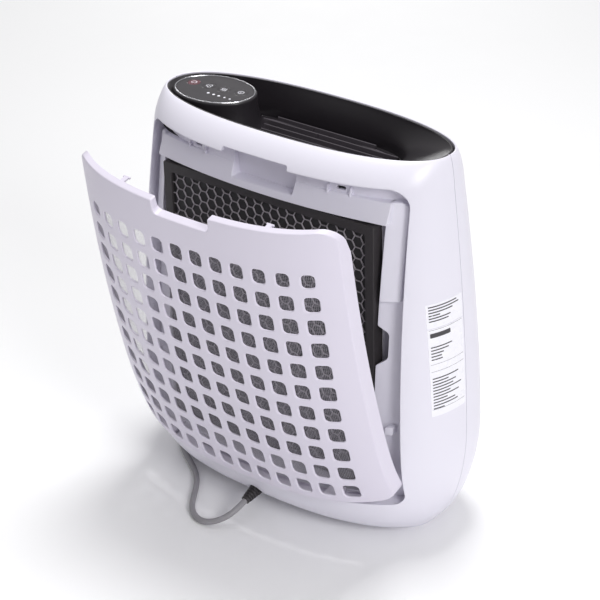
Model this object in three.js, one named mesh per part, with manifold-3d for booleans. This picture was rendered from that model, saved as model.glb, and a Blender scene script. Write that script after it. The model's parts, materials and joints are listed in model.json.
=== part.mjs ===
// Table-top air purifier: an upright, pebble-shaped white case with a dark outlet tray on top.
// Millimetres, +Z up. The origin is the centre of the flat underside, the front faces -Y, and the
// perforated intake panel at the rear (+Y) leans open, as it stands when the filters are changed.
import * as THREE from 'three';
import { mergeVertices } from 'three/addons/utils/BufferGeometryUtils.js';
import Module from 'manifold-3d';

const wasm = await Module();
wasm.setup();

// ---- driving dimensions ----
const WIDTH = 411;
const DEPTH = 211;
const HEIGHT = 431;
const WALL = 2.6;
const GAP = 0.35;
const SMOOTHING = 0.1;

// The case's half-width and its depths behind and in front of the origin, from foot to top.
const REAR_REACH = 115.9;
const HALF_WIDTH = { foot: 155.9, widest: WIDTH / 2, at: 123, curl: 1.84, top: 181.4, lean: 1.62 };
const REAR_DEPTH = { foot: 19.8, widest: REAR_REACH, at: 85.6, curl: 2.69, top: 83.5, lean: 2.1 };
const FRONT_DEPTH = { foot: 43.4, widest: DEPTH - REAR_REACH, at: 105, curl: 2.03, top: 64.8, lean: 1.54 };
const PLAN_POWER = 2.51;
const FOOT_Z = 3;
const SHOULDER_Z = 400;
const SHOULDER_POWER = 1.45;

// The dark tray let into the top.
const TRAY = { halfWidth: 177.9, halfDepth: 58.9, y: 2.7, power: 2.32 };
const RIM = 1.5;
const TRAY_FLOOR_Z = 392;
const GRILLE = { left: -103, right: 110, halfDepth: 47, y: 0, top: 396, slatPitch: 11.5, slats: 9 };
const POD = { x: 121, y: 2.7, topZ: 430, topWidth: 49.5, topDepth: 37, lowWidth: 54, lowDepth: 44 };
const DIAL = { width: 46, depth: 33.5 };

// The keys lie in a shallow arc across the dial, and the lamps in a row behind them.
const KEYS = [
  { name: 'power_key', x: 152.5, radius: 7, look: 'red' },
  { name: 'fan_speed_key', x: 132, radius: 7, look: 'dark' },
  { name: 'ion_key', x: 112.3, radius: 7, look: 'dark' },
  { name: 'timer_key', x: 92, radius: 7, look: 'dark' },
];
const keyY = (x) => POD.y - 3.6 - ((x - 130) / 38) ** 2 * (x < 130 ? 5 : -3);
const LAMP_Y = 14.5;
const LAMPS = [120.1, 112.6, 105.6, 97.6, 90.4].map((x, i) => ({ x, radius: i < 3 ? 1.6 : 1.2 }));

// The rear opening, its panel and the panel's pivot.
const OPENING = { low: 58, high: 407.5, halfLow: 176, halfHigh: 167.5, cornerLow: 14, cornerHigh: 24 };
const OPENING_NOTCH = { half: 43, rise: 5 };
const PANEL_CLEARANCE = 1.3;
const PANEL_TOP_CLEARANCE = 3.6;
const PANEL_SKIN = 2.2;
const PANEL_FLANGE = { deep: 16, shallow: 8, from: 370, to: 396 };
const PANEL_NOTCH = { half: 36.5, drop: 15 };
const HOLES = { columns: 12, rows: 11, pitchX: 25.35, pitchZ: 27.5, topZ: 353, wide: 16.4, tall: 18.4 };
const NET = { half: 150, low: 88.5, high: 363, thick: 0.55 };
const CLIP = { x: 93, stem: 3, head: 4.5, low: 394.6, high: 396.9, tip: 60.5, headDeep: 2.5 };
const LUG = { x: 112, half: 9, rise: 3, thick: 3, from: 82, to: 99 };
const PIVOT = { y: 120, z: 23 };
const OPEN_ANGLE = 16.6;

// The recess behind the panel, and the filters that stand in it.
const RECESS = 22;
const FILTER = { half: 138.5, low: 62, high: 367.5, face: 70, carbon: 14, hepa: 30, rear: 24 };
const LEDGE = { half: 150, low: 369.8, high: 391, bow: 78.5, sag: 12.3 };
const GUIDE = { from: 147, to: 162, low: 288, high: 390, height: 7 };
const STOP = { from: 155, to: 162, low: 139, high: 148, height: 9 };
const LATCH_RIB = { at: [-105, -80, 80, 105], half: 0.9, low: 386, high: 399, height: 9 };
const LATCH_SLOT = { half: 6, low: 393.4, high: 398.6 };
const BACK_WALL_Y = 18;

// The fan, its scroll and the motor.
const FAN = { z: 205, radius: 104, blades: 26, rear: 10, front: -50 };
const SCROLL = { front: -66, rear: 13, wall: 2.4, tongue: 116, widest: 146 };

// The mains cord.
const CORD = { diameter: 6.6, exit: { x: -1, y: 100.6, z: 27 }, droop: 15 };
const RELIEF = { length: 20, inside: 14, root: 7.2, tip: 4.8 };
const COIL = { x: 70, y: -134, inner: 26, outer: 46.6, height: 20.5 };
const CORD_ROUTE = [
  [-1, 120.6, 21.6], [-0.2, 130.5, 18.2], [2.8, 140.5, 13.7], [9, 149.3, 8.9], [18, 155.3, 5.3],
  [29, 157.2, 3.8], [40, 154.5, 3.6], [50, 148.2, 3.6], [58.5, 139.5, 3.6], [66, 129.3, 3.6],
  [73.5, 118, 3.6], [82, 106, 3.6], [93, 94, 3.6], [106, 83.5, 3.6],
  [120, 74.5, 3.6], [134, 65.5, 3.6], [147, 56, 3.6], [159, 45, 3.6], [169, 32, 3.6], [175.5, 17, 3.6],
  [178.5, 0, 3.6], [178, -18, 3.6], [173, -36, 3.6], [165.5, -53, 3.6], [158, -69.5, 3.6],
  [150, -85.5, 3.6], [142.5, -100, 3.6], [134.5, -113.8, 3.6], [126.5, -126.7, 3.6], [120.4, -136.2, 3.6],
];
const TAIL_ROUTE = [
  [23.4, -153.2, 3.6], [13, -145.5, 3.6], [2, -139.5, 3.6], [-10, -136.5, 4], [-23, -135.5, 5.4],
  [-36, -135.5, 7.4],
];
const PLUG = { y: -135.5, z: 7.4, length: 36, width: 25, thick: 14, pinRadius: 2, spread: 9.3 };

const COLOURS = {
  white: { color: 0xe9e7f0, roughness: 0.38, metalness: 0 },
  dark: { color: 0x37343a, roughness: 0.35, metalness: 0 },
  black: { color: 0x232124, roughness: 0.6, metalness: 0 },
  grey: { color: 0x8b8792, roughness: 0.6, metalness: 0 },
  steel: { color: 0xb9bbc0, roughness: 0.3, metalness: 1 },
  silver: { color: 0xc9c9d2, roughness: 0.2, metalness: 1 },
  brass: { color: 0xb99a52, roughness: 0.35, metalness: 1 },
  rubber: { color: 0x3a393b, roughness: 0.8, metalness: 0 },
  cable: { color: 0x9b9aa0, roughness: 0.6, metalness: 0 },
  media: { color: 0xf0efe8, roughness: 0.9, metalness: 0 },
  board: { color: 0x2f6b46, roughness: 0.5, metalness: 0 },
  red: { color: 0xb23a4e, roughness: 0.4, metalness: 0 },
  paper: { color: 0xf4f4f6, roughness: 0.6, metalness: 0 },
};

const part = new THREE.Group();

// ---- solids ----
function toSolid(geometry) {
  const bare = geometry.index ? geometry.toNonIndexed() : geometry.clone();
  bare.deleteAttribute('normal');
  bare.deleteAttribute('uv');
  const merged = mergeVertices(bare, 1e-4);
  return new wasm.Manifold(new wasm.Mesh({
    numProp: 3,
    vertProperties: new Float32Array(merged.attributes.position.array),
    triVerts: new Uint32Array(merged.index.array),
  }));
}

// The main body of a solid, without the loose slivers that a cut can leave.
const mainBody = (solid) => solid.decompose().sort((a, b) => b.volume() - a.volume())[0];

function toGeometry(solid) {
  const { vertProperties, triVerts, numProp } = mainBody(solid.simplify(SMOOTHING)).getMesh();
  const positions = new Float32Array((vertProperties.length / numProp) * 3);
  for (let i = 0; i < positions.length / 3; i += 1) {
    for (let k = 0; k < 3; k += 1) positions[3 * i + k] = vertProperties[numProp * i + k];
  }
  const geometry = new THREE.BufferGeometry();
  geometry.setAttribute('position', new THREE.BufferAttribute(positions, 3));
  geometry.setIndex(new THREE.BufferAttribute(new Uint32Array(triVerts), 1));
  geometry.computeVertexNormals();
  return geometry;
}

function add(name, solid, look, group = part) {
  const geometry = solid.isBufferGeometry ? solid : toGeometry(solid);
  const piece = new THREE.Mesh(geometry, new THREE.MeshStandardMaterial(COLOURS[look]));
  piece.name = name;
  group.add(piece);
  return piece;
}

const union = (solids) => solids.reduce((sum, solid) => sum.add(solid));

function box(x0, x1, y0, y1, z0, z1) {
  const geometry = new THREE.BoxGeometry(x1 - x0, y1 - y0, z1 - z0);
  geometry.translate((x0 + x1) / 2, (y0 + y1) / 2, (z0 + z1) / 2);
  return toSolid(geometry);
}

// A flat outline drawn in X and Z, pushed from y0 to y1.
function alongY(shape, y0, y1, curveSegments = 6) {
  const geometry = new THREE.ExtrudeGeometry(shape, { depth: y1 - y0, bevelEnabled: false, curveSegments });
  geometry.rotateX(Math.PI / 2);
  geometry.translate(0, y1, 0);
  return toSolid(geometry);
}

// A flat outline drawn in X and Y, pushed from z0 to z1.
function alongZ(shape, z0, z1, curveSegments = 6) {
  const geometry = new THREE.ExtrudeGeometry(shape, { depth: z1 - z0, bevelEnabled: false, curveSegments });
  geometry.translate(0, 0, z0);
  return toSolid(geometry);
}

// A turned piece, its profile given as [radius, height] pairs, standing on Z at a point.
function turned(profile, x, y, z, segments = 20) {
  const geometry = new THREE.LatheGeometry(profile.map(([r, h]) => new THREE.Vector2(r, h)), segments);
  geometry.rotateX(Math.PI / 2);
  geometry.translate(x, y, z);
  return toSolid(geometry);
}

// The same, lying along +Y from a point.
function turnedAlongY(profile, x, y, z, segments = 24) {
  const geometry = new THREE.LatheGeometry(profile.map(([r, h]) => new THREE.Vector2(r, h)), segments);
  geometry.translate(x, y, z);
  return toSolid(geometry);
}

const drum = (radius, y0, y1, z, segments = 40) =>
  turnedAlongY([[0, y0], [radius, y0], [radius, y1], [0, y1]], 0, 0, z, segments);

// A solid skinned over a stack of rings that all have the same number of points.
function lofted(rings) {
  const count = rings[0].length;
  const points = rings.flat();
  const faces = [];
  for (let level = 0; level + 1 < rings.length; level += 1) {
    for (let i = 0; i < count; i += 1) {
      const a = level * count + i;
      const b = level * count + ((i + 1) % count);
      faces.push(a, b, b + count, a, b + count, a + count);
    }
  }
  const capCentre = (ring) => ring
    .reduce((sum, point) => sum.add(point), new THREE.Vector3())
    .divideScalar(count);
  const bottom = points.push(capCentre(rings[0])) - 1;
  const top = points.push(capCentre(rings[rings.length - 1])) - 1;
  const last = (rings.length - 1) * count;
  for (let i = 0; i < count; i += 1) {
    const next = (i + 1) % count;
    faces.push(bottom, next, i, top, last + i, last + next);
  }
  const geometry = new THREE.BufferGeometry().setFromPoints(points);
  geometry.setIndex(faces);
  return toSolid(geometry);
}

// A plate between two surfaces y = back(x, z) and y = front(x, z), over a grid in X and Z. The grid's
// cells for which open(column, row) holds are left out, as square windows.
function curvedPlate(xs, zs, back, front, open = () => false) {
  const columns = xs.length;
  const points = [];
  zs.forEach((z) => xs.forEach((x) => {
    points.push(new THREE.Vector3(x, back(x, z), z), new THREE.Vector3(x, front(x, z), z));
  }));
  const faces = [];
  const quad = (a, b, c, d) => faces.push(a, b, c, a, c, d);
  const index = (i, j, side) => 2 * (j * columns + i) + side;
  const solid = (i, j) =>
    i >= 0 && j >= 0 && i < columns - 1 && j < zs.length - 1 && !open(i, j);
  for (let i = 0; i < columns - 1; i += 1) {
    for (let j = 0; j < zs.length - 1; j += 1) {
      if (!solid(i, j)) continue;
      quad(index(i, j, 1), index(i, j + 1, 1), index(i + 1, j + 1, 1), index(i + 1, j, 1));
      quad(index(i, j, 0), index(i + 1, j, 0), index(i + 1, j + 1, 0), index(i, j + 1, 0));
      const wall = (i0, j0, i1, j1) =>
        quad(index(i0, j0, 1), index(i1, j1, 1), index(i1, j1, 0), index(i0, j0, 0));
      if (!solid(i, j - 1)) wall(i, j, i + 1, j);
      if (!solid(i + 1, j)) wall(i + 1, j, i + 1, j + 1);
      if (!solid(i, j + 1)) wall(i + 1, j + 1, i, j + 1);
      if (!solid(i - 1, j)) wall(i, j + 1, i, j);
    }
  }
  const geometry = new THREE.BufferGeometry().setFromPoints(points);
  geometry.setIndex(faces);
  return toSolid(geometry);
}

const steps = (from, to, count) =>
  Array.from({ length: count + 1 }, (_, i) => from + ((to - from) * i) / count);

// ---- the case's shape ----
function swell(z, { foot, widest, at, curl, top, lean }) {
  if (z < at) return foot + (widest - foot) * (1 - ((at - z) / at) ** curl) ** (1 / curl);
  return widest + (top - widest) * ((z - at) / (HEIGHT - at)) ** lean;
}

// Half-width, rear depth, front depth and corner power of the case at a height.
function section(z, inset = 0) {
  const level = Math.min(Math.max(z, FOOT_Z), SHOULDER_Z);
  const side = swell(level, HALF_WIDTH);
  const rear = swell(level, REAR_DEPTH);
  const front = swell(level, FRONT_DEPTH);
  const climb = Math.min(Math.max((z - SHOULDER_Z) / (HEIGHT - SHOULDER_Z), 0), 1);
  const keep = (1 - climb ** SHOULDER_POWER) ** (1 / SHOULDER_POWER);
  const blend = (wide, narrow) => narrow + (wide - narrow) * keep - inset;
  return {
    side: blend(side, TRAY.halfWidth + RIM),
    rear: blend(rear, TRAY.halfDepth + TRAY.y + RIM),
    front: blend(front, TRAY.halfDepth - TRAY.y + RIM),
    power: TRAY.power + (PLAN_POWER - TRAY.power) * keep,
  };
}

const bulge = (x, side, power) => Math.max(1 - Math.abs(x / side) ** power, 0) ** (1 / power);

function rearSkin(x, z, inset = 0) {
  const { side, rear, power } = section(z, inset);
  return rear * bulge(x, side, power);
}

function ringAt(z, inset, count) {
  const { side, rear, front, power } = section(z, inset);
  return Array.from({ length: count }, (_, i) => {
    const angle = (2 * Math.PI * i) / count;
    const [c, s] = [Math.cos(angle), Math.sin(angle)];
    const x = side * Math.sign(c) * Math.abs(c) ** (2 / power);
    const y = (s > 0 ? rear : front) * Math.sign(s) * Math.abs(s) ** (2 / power);
    return new THREE.Vector3(x, y, z);
  });
}

const CASE_LEVELS = [FOOT_Z, 8, 17, 32, 55, 88, 130, 185, 250, 320, SHOULDER_Z, 411, 420, 427];

function caseSolid(inset, bottom = 0, top = HEIGHT, count = 36) {
  const levels = CASE_LEVELS.filter((z) => z > bottom + 1 && z < top - 1);
  return lofted([bottom, ...levels, top].map((z) => ringAt(z, inset, count)));
}

function ellipse(x, y, halfWidth, halfDepth, power = 2, count = 32) {
  const shape = new THREE.Shape();
  for (let i = 0; i < count; i += 1) {
    const angle = (2 * Math.PI * i) / count;
    const [c, s] = [Math.cos(angle), Math.sin(angle)];
    shape[i ? 'lineTo' : 'moveTo'](
      x + halfWidth * Math.sign(c) * Math.abs(c) ** (2 / power),
      y + halfDepth * Math.sign(s) * Math.abs(s) ** (2 / power),
    );
  }
  return shape;
}

const trayOutline = (grow) =>
  ellipse(0, TRAY.y, TRAY.halfWidth + grow, TRAY.halfDepth + grow, TRAY.power);

// The rear opening's outline, grown or shrunk, with a notch in its top edge: up for the case's
// finger hole, down for the panel's finger cut-out.
function openingOutline(grow, notchHalf, notchRise, topGrow = grow) {
  const low = OPENING.low - grow;
  const high = OPENING.high + topGrow;
  const slope = (OPENING.halfLow - OPENING.halfHigh) / (OPENING.high - OPENING.low);
  const half = (z) => OPENING.halfLow - slope * (z - OPENING.low) + grow;
  const [rLow, rHigh] = [OPENING.cornerLow + grow, OPENING.cornerHigh + grow];
  const shape = new THREE.Shape();
  shape.moveTo(-half(low) + rLow, low);
  shape.lineTo(half(low) - rLow, low);
  shape.quadraticCurveTo(half(low), low, half(low + rLow), low + rLow);
  shape.lineTo(half(high - rHigh), high - rHigh);
  shape.quadraticCurveTo(half(high), high, half(high) - rHigh, high);
  shape.lineTo(notchHalf, high);
  shape.lineTo(notchHalf, high + notchRise);
  shape.lineTo(-notchHalf, high + notchRise);
  shape.lineTo(-notchHalf, high);
  shape.lineTo(-half(high) + rHigh, high);
  shape.quadraticCurveTo(-half(high), high, -half(high - rHigh), high - rHigh);
  shape.lineTo(-half(low + rLow), low + rLow);
  shape.quadraticCurveTo(-half(low), low, -half(low) + rLow, low);
  return shape;
}

const openingPrism = (grow, y0 = 5, y1 = 200) =>
  alongY(openingOutline(grow, OPENING_NOTCH.half + grow, OPENING_NOTCH.rise), y0, y1);

// The panel's outline lies further inside the opening at its top edge, which rises as it swings out.
const panelPrism = (shrink) => alongY(
  openingOutline(-PANEL_CLEARANCE - shrink, PANEL_NOTCH.half + shrink, -PANEL_NOTCH.drop,
    -PANEL_TOP_CLEARANCE - shrink),
  5,
  200,
);

// A turned piece on the cord's axis, which droops as it leaves the case.
const alongCord = (profile) => turnedAlongY(profile, 0, 0, 0, 16)
  .rotate([-CORD.droop, 0, 0])
  .translate([CORD.exit.x, CORD.exit.y, CORD.exit.z]);

// ---- case, base and feet ----
function buildCase() {
  const lip = 8;
  const outer = caseSolid(0);
  const inner = caseSolid(WALL, WALL, HEIGHT - WALL);
  const trayHole = alongZ(trayOutline(GAP), HEIGHT - 20, HEIGHT + 5);
  const footHole = lofted([-1, FOOT_Z + 1].map((z) => ringAt(FOOT_Z, lip, 32).map((p) => p.setZ(z))));
  const shell = outer.subtract(inner).subtract(trayHole).subtract(footHole);
  const holeRadius = RELIEF.root + 0.6;
  const cordHole = alongCord([[0, -40], [holeRadius, -40], [holeRadius, 40], [0, 40]]);
  const returnWall = openingPrism(2.2)
    .subtract(openingPrism(0))
    .intersect(outer.subtract(caseSolid(RECESS + 2)));
  const rear = shell
    .subtract(openingPrism(0))
    .add(returnWall)
    .intersect(box(-300, 300, GAP / 2, 300, -5, 500))
    .subtract(cordHole);
  const front = shell.intersect(box(-300, 300, -300, -GAP / 2, -5, 500));
  add('rear_housing', rear, 'white');
  add('front_cover', front, 'white');

  const feet = [-1, 1].flatMap((sx) => [-1, 1].map((sy) => [sx * 118, sy * 27]));
  const screws = [-1, 1].flatMap((sx) => [-1, 1].map((sy) => [sx * 84, sy * 34]));
  const plate = lofted([0, WALL].map((z) => ringAt(FOOT_Z, lip + GAP, 32).map((p) => p.setZ(z))));
  const holes = [
    ...feet.map(([x, y]) => turned([[0, -1], [9.4, -1], [9.4, 5], [0, 5]], x, y, 0, 14)),
    ...screws.map(([x, y]) => turned([[0, -1], [3.9, -1], [3.9, 5], [0, 5]], x, y, 0, 10)),
  ];
  add('base_plate', holes.reduce((sum, hole) => sum.subtract(hole), plate), 'white');
  const footProfile = [[0, 0], [9, 0], [9, 3.1], [11.5, 3.1], [11.5, 4.6], [0, 4.6]];
  feet.forEach(([x, y], i) => add(`foot_${i + 1}`, turned(footProfile, x, y, 0, 14), 'rubber'));
  const screwProfile = [[0, 0.6], [3.5, 0.6], [3.5, 2.6], [1.6, 3.2], [1.6, 13], [0, 14]];
  screws.forEach(([x, y], i) => add(`case_screw_${i + 1}`, turned(screwProfile, x, y, 0, 10), 'steel'));
}

// ---- outlet tray, control pod and keys ----
const podSolid = (grow, low, high) => {
  const ring = (z) => {
    const t = (POD.topZ - z) / (POD.topZ - TRAY_FLOOR_Z);
    const width = POD.topWidth + (POD.lowWidth - POD.topWidth) * t * t + grow;
    const depth = POD.topDepth + (POD.lowDepth - POD.topDepth) * t * t + grow;
    return steps(0, 23, 23).map((i) => new THREE.Vector3(
      POD.x + width * Math.cos((Math.PI * i) / 12),
      POD.y + depth * Math.sin((Math.PI * i) / 12),
      z,
    ));
  };
  return lofted(steps(low, high, 3).map(ring));
};

// A ring of the tray's inside, which narrows from the rim (t = 0) to a long rounded floor (t = 1),
// most of all at its -X end.
function trayRing(t, grow, z) {
  const left = TRAY.halfWidth - 2.5 - (TRAY.halfWidth + GRILLE.left - 9) * t + grow;
  const right = TRAY.halfWidth - 2.5 - 42 * t + grow;
  const depth = TRAY.halfDepth - 2.5 - 7 * t + grow;
  const power = TRAY.power + 1.1 * t;
  return Array.from({ length: 32 }, (_, i) => {
    const angle = (2 * Math.PI * i) / 32;
    const [c, s] = [Math.cos(angle), Math.sin(angle)];
    return new THREE.Vector3(
      (c > 0 ? right : left) * Math.sign(c) * Math.abs(c) ** (2 / power),
      TRAY.y + depth * Math.sign(s) * Math.abs(s) ** (2 / power),
      z,
    );
  });
}

function trayCavity(grow, low, high) {
  const levels = [[low, 1], [404, 0.96], [412, 0.72], [422, 0.3], [high, 0]];
  return lofted(levels.map(([z, t]) => trayRing(t, grow, z)));
}

const dialSlab = (grow, z0, z1) =>
  alongZ(ellipse(POD.x, POD.y, DIAL.width + grow, DIAL.depth + grow), z0, z1);

const trayFloor = (grow, low, high) => lofted([low, high].map((z) => trayRing(1, grow, z)));

function buildTop() {
  const rimTop = HEIGHT - 1;
  const flange = alongZ(trayOutline(0), rimTop - 2, rimTop);
  const bowl = trayCavity(2.2, TRAY_FLOOR_Z - 2.2, rimTop - 1.5);
  const cavity = trayCavity(0, TRAY_FLOOR_Z, rimTop + 1);
  const pod = podSolid(0, TRAY_FLOOR_Z - 2.2, POD.topZ)
    .intersect(trayCavity(1, TRAY_FLOOR_Z - 2.2, rimTop));
  const podHollow = podSolid(-2.4, TRAY_FLOOR_Z - 4, POD.topZ - 4)
    .intersect(trayCavity(-1.2, TRAY_FLOOR_Z - 5, rimTop));
  const dialSeat = dialSlab(2, POD.topZ - 2.4, POD.topZ + 5);
  const throat = trayFloor(-3, TRAY_FLOOR_Z - 5, TRAY_FLOOR_Z + 0.5)
    .subtract(podSolid(0.5, TRAY_FLOOR_Z - 6, TRAY_FLOOR_Z + 1));
  const deck = flange.add(bowl).subtract(cavity.subtract(pod)).add(pod)
    .subtract(podHollow)
    .subtract(dialSeat)
    .subtract(throat);
  add('outlet_tray', deck, 'dark');

  const { left, right, halfDepth, y, top } = GRILLE;
  const frame = trayFloor(-3 - GAP, top - 12, top - 4.5).subtract(trayFloor(-5.5, top - 20, top));
  const slats = steps(0, GRILLE.slats - 1, GRILLE.slats - 1)
    .map((i) => y - halfDepth + 5.5 + i * GRILLE.slatPitch)
    .map((slat) => box(left - 12, right + 20, slat - 0.9, slat + 0.9, top - 9, top));
  const ribs = steps(left + 40, right - 40, 3)
    .map((x) => box(x - 0.8, x + 0.8, y - halfDepth, y + halfDepth + 8, top - 11, top - 6.5));
  const grille = union([frame, ...slats, ...ribs])
    .intersect(trayFloor(-3 - GAP, top - 30, top + 5))
    .subtract(podSolid(0.8, TRAY_FLOOR_Z - 20, TRAY_FLOOR_Z + 10));
  add('outlet_grille', grille, 'dark');

  const ringOuter = dialSlab(1.7, POD.topZ - 2, POD.topZ + 0.6);
  add('control_ring', ringOuter.subtract(dialSlab(0.3, POD.topZ - 5, POD.topZ + 5)), 'silver');
  let face = dialSlab(0, POD.topZ - 2, POD.topZ);
  KEYS.forEach(({ x, radius }) => {
    const well = [[0, -4], [radius + GAP, -4], [radius + GAP, 4], [0, 4]];
    face = face.subtract(turned(well, x, keyY(x), POD.topZ, 12));
  });
  LAMPS.forEach(({ x, radius }) => {
    const well = [[0, -4], [radius + 0.3, -4], [radius + 0.3, 4], [0, 4]];
    face = face.subtract(turned(well, x, LAMP_Y, POD.topZ, 6));
  });
  add('control_face', face, 'black');
  KEYS.forEach(({ name, x, radius, look }) => {
    const profile = [[0, -1.4], [radius, -1.4], [radius, 0], [0, 0]];
    add(name, turned(profile, x, keyY(x), POD.topZ, 12), look);
  });
  LAMPS.forEach(({ x, radius }, i) => {
    const profile = [[0, -1.4], [radius, -1.4], [radius, 0], [0, 0]];
    add(`indicator_${i + 1}`, turned(profile, x, LAMP_Y, POD.topZ, 6), 'paper');
  });
  const board = ellipse(POD.x - 3, POD.y, 28, 24, 2, 16);
  add('control_board', alongZ(board, POD.topZ - 12, POD.topZ - 10.4), 'board');
}

// ---- recess, filters and intake ----
function ledgeFace(x, z) {
  const bow = LEDGE.bow - LEDGE.sag * (x / 140) ** 2;
  const rise = (z - LEDGE.low) / (LEDGE.high - LEDGE.low);
  return bow - 9 * Math.max(rise, 0);
}

function buildRecess() {
  const floorRear = caseSolid(RECESS);
  const floorFront = caseSolid(RECESS + 2.4);
  const inOpening = openingPrism(-0.6);
  const floor = floorRear.subtract(floorFront).intersect(inOpening);
  const pocketHalf = OPENING_NOTCH.half - 2.6;
  const around = 1.5;
  const bore = box(-FILTER.half - around, FILTER.half + around, BACK_WALL_Y + 3, 200,
    FILTER.low - around, FILTER.high + around);
  const tube = box(-FILTER.half - around - 2, FILTER.half + around + 2, BACK_WALL_Y, 120,
    FILTER.low - around - 2, FILTER.high + around + 2).intersect(floorRear);
  const ledge = curvedPlate(steps(-LEDGE.half, LEDGE.half, 16), [LEDGE.low, LEDGE.low + 1.5, LEDGE.high],
    (x, z) => rearSkin(x, z, RECESS) - 1.2, ledgeFace).intersect(inOpening);
  const pocket = box(-pocketHalf - 2, pocketHalf + 2, 58.5, 200, 375, 410).intersect(caseSolid(18));
  const pocketHole = box(-pocketHalf, pocketHalf, 60.5, 200, 377, 430);
  const raised = (xs, zs, height) => curvedPlate(xs, zs,
    (x, z) => rearSkin(x, z, RECESS) - 1, (x, z) => rearSkin(x, z, RECESS) + height);
  const mirrored = ({ from, to, low, high, height }, cells) => [-1, 1].map((side) =>
    raised(steps(Math.min(side * from, side * to), Math.max(side * from, side * to), cells),
      steps(low, high, cells), height));
  const guides = mirrored(GUIDE, 4);
  const stops = mirrored(STOP, 1);
  const latchRibs = LATCH_RIB.at.map((x) =>
    raised([x - LATCH_RIB.half, x + LATCH_RIB.half], [LATCH_RIB.low, LATCH_RIB.high], LATCH_RIB.height));
  const latchSlots = [-CLIP.x, CLIP.x].map((x) =>
    box(x - LATCH_SLOT.half, x + LATCH_SLOT.half, 20, 100, LATCH_SLOT.low, LATCH_SLOT.high));
  const solid = union([floor, tube, ledge, pocket, ...guides, ...stops, ...latchRibs])
    .subtract(bore)
    .subtract(pocketHole)
    .subtract(drum(101, 0, 40, FAN.z, 32))
    .subtract(union(latchSlots));
  add('filter_recess', solid, 'white');
}

function buildFilters() {
  const { half, low, high, face, carbon, hepa, rear } = FILTER;
  const border = 11;
  const frame = (y0, y1, lip) => box(-half, half, y0, y1, low, high)
    .subtract(box(-half + lip, half - lip, y0 - 1, y1 + 1, low + lip, high - lip));
  add('carbon_filter_frame', frame(face - carbon, face, border), 'black');
  add('carbon_honeycomb', box(-half + border + GAP, half - border - GAP, face - carbon + 1, face - 1.6,
    low + border + GAP, high - border - GAP), 'grey');
  add('hepa_frame', frame(rear, rear + hepa, 5), 'white');
  const pleats = 30;
  const inside = half - 5 - GAP;
  const pitch = (2 * inside) / pleats;
  const zigzag = new THREE.Shape();
  const fold = (i) => (i % 2 ? rear + hepa - 2 : rear + 3.2);
  for (let i = 0; i <= pleats; i += 1) zigzag[i ? 'lineTo' : 'moveTo'](-inside + i * pitch, fold(i));
  for (let i = pleats; i >= 0; i -= 1) zigzag.lineTo(-inside + i * pitch, fold(i) - 1.6);
  add('hepa_pleats', alongZ(zigzag, low + 5 + GAP, high - 5 - GAP), 'media');

  const guardRings = [30, 60, 97.6].map((r) => drum(r + 1.5, BACK_WALL_Y, BACK_WALL_Y + 3, FAN.z, 16)
    .subtract(drum(r - 1.5, 0, 60, FAN.z, 16)));
  const spokes = steps(0, 5, 5).map((i) => box(28, 97, BACK_WALL_Y, BACK_WALL_Y + 3, -1.2, 1.2)
    .rotate([0, i * 60, 0]).translate([0, 0, FAN.z]));
  add('fan_guard', union([...guardRings, ...spokes]), 'white');
}

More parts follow.
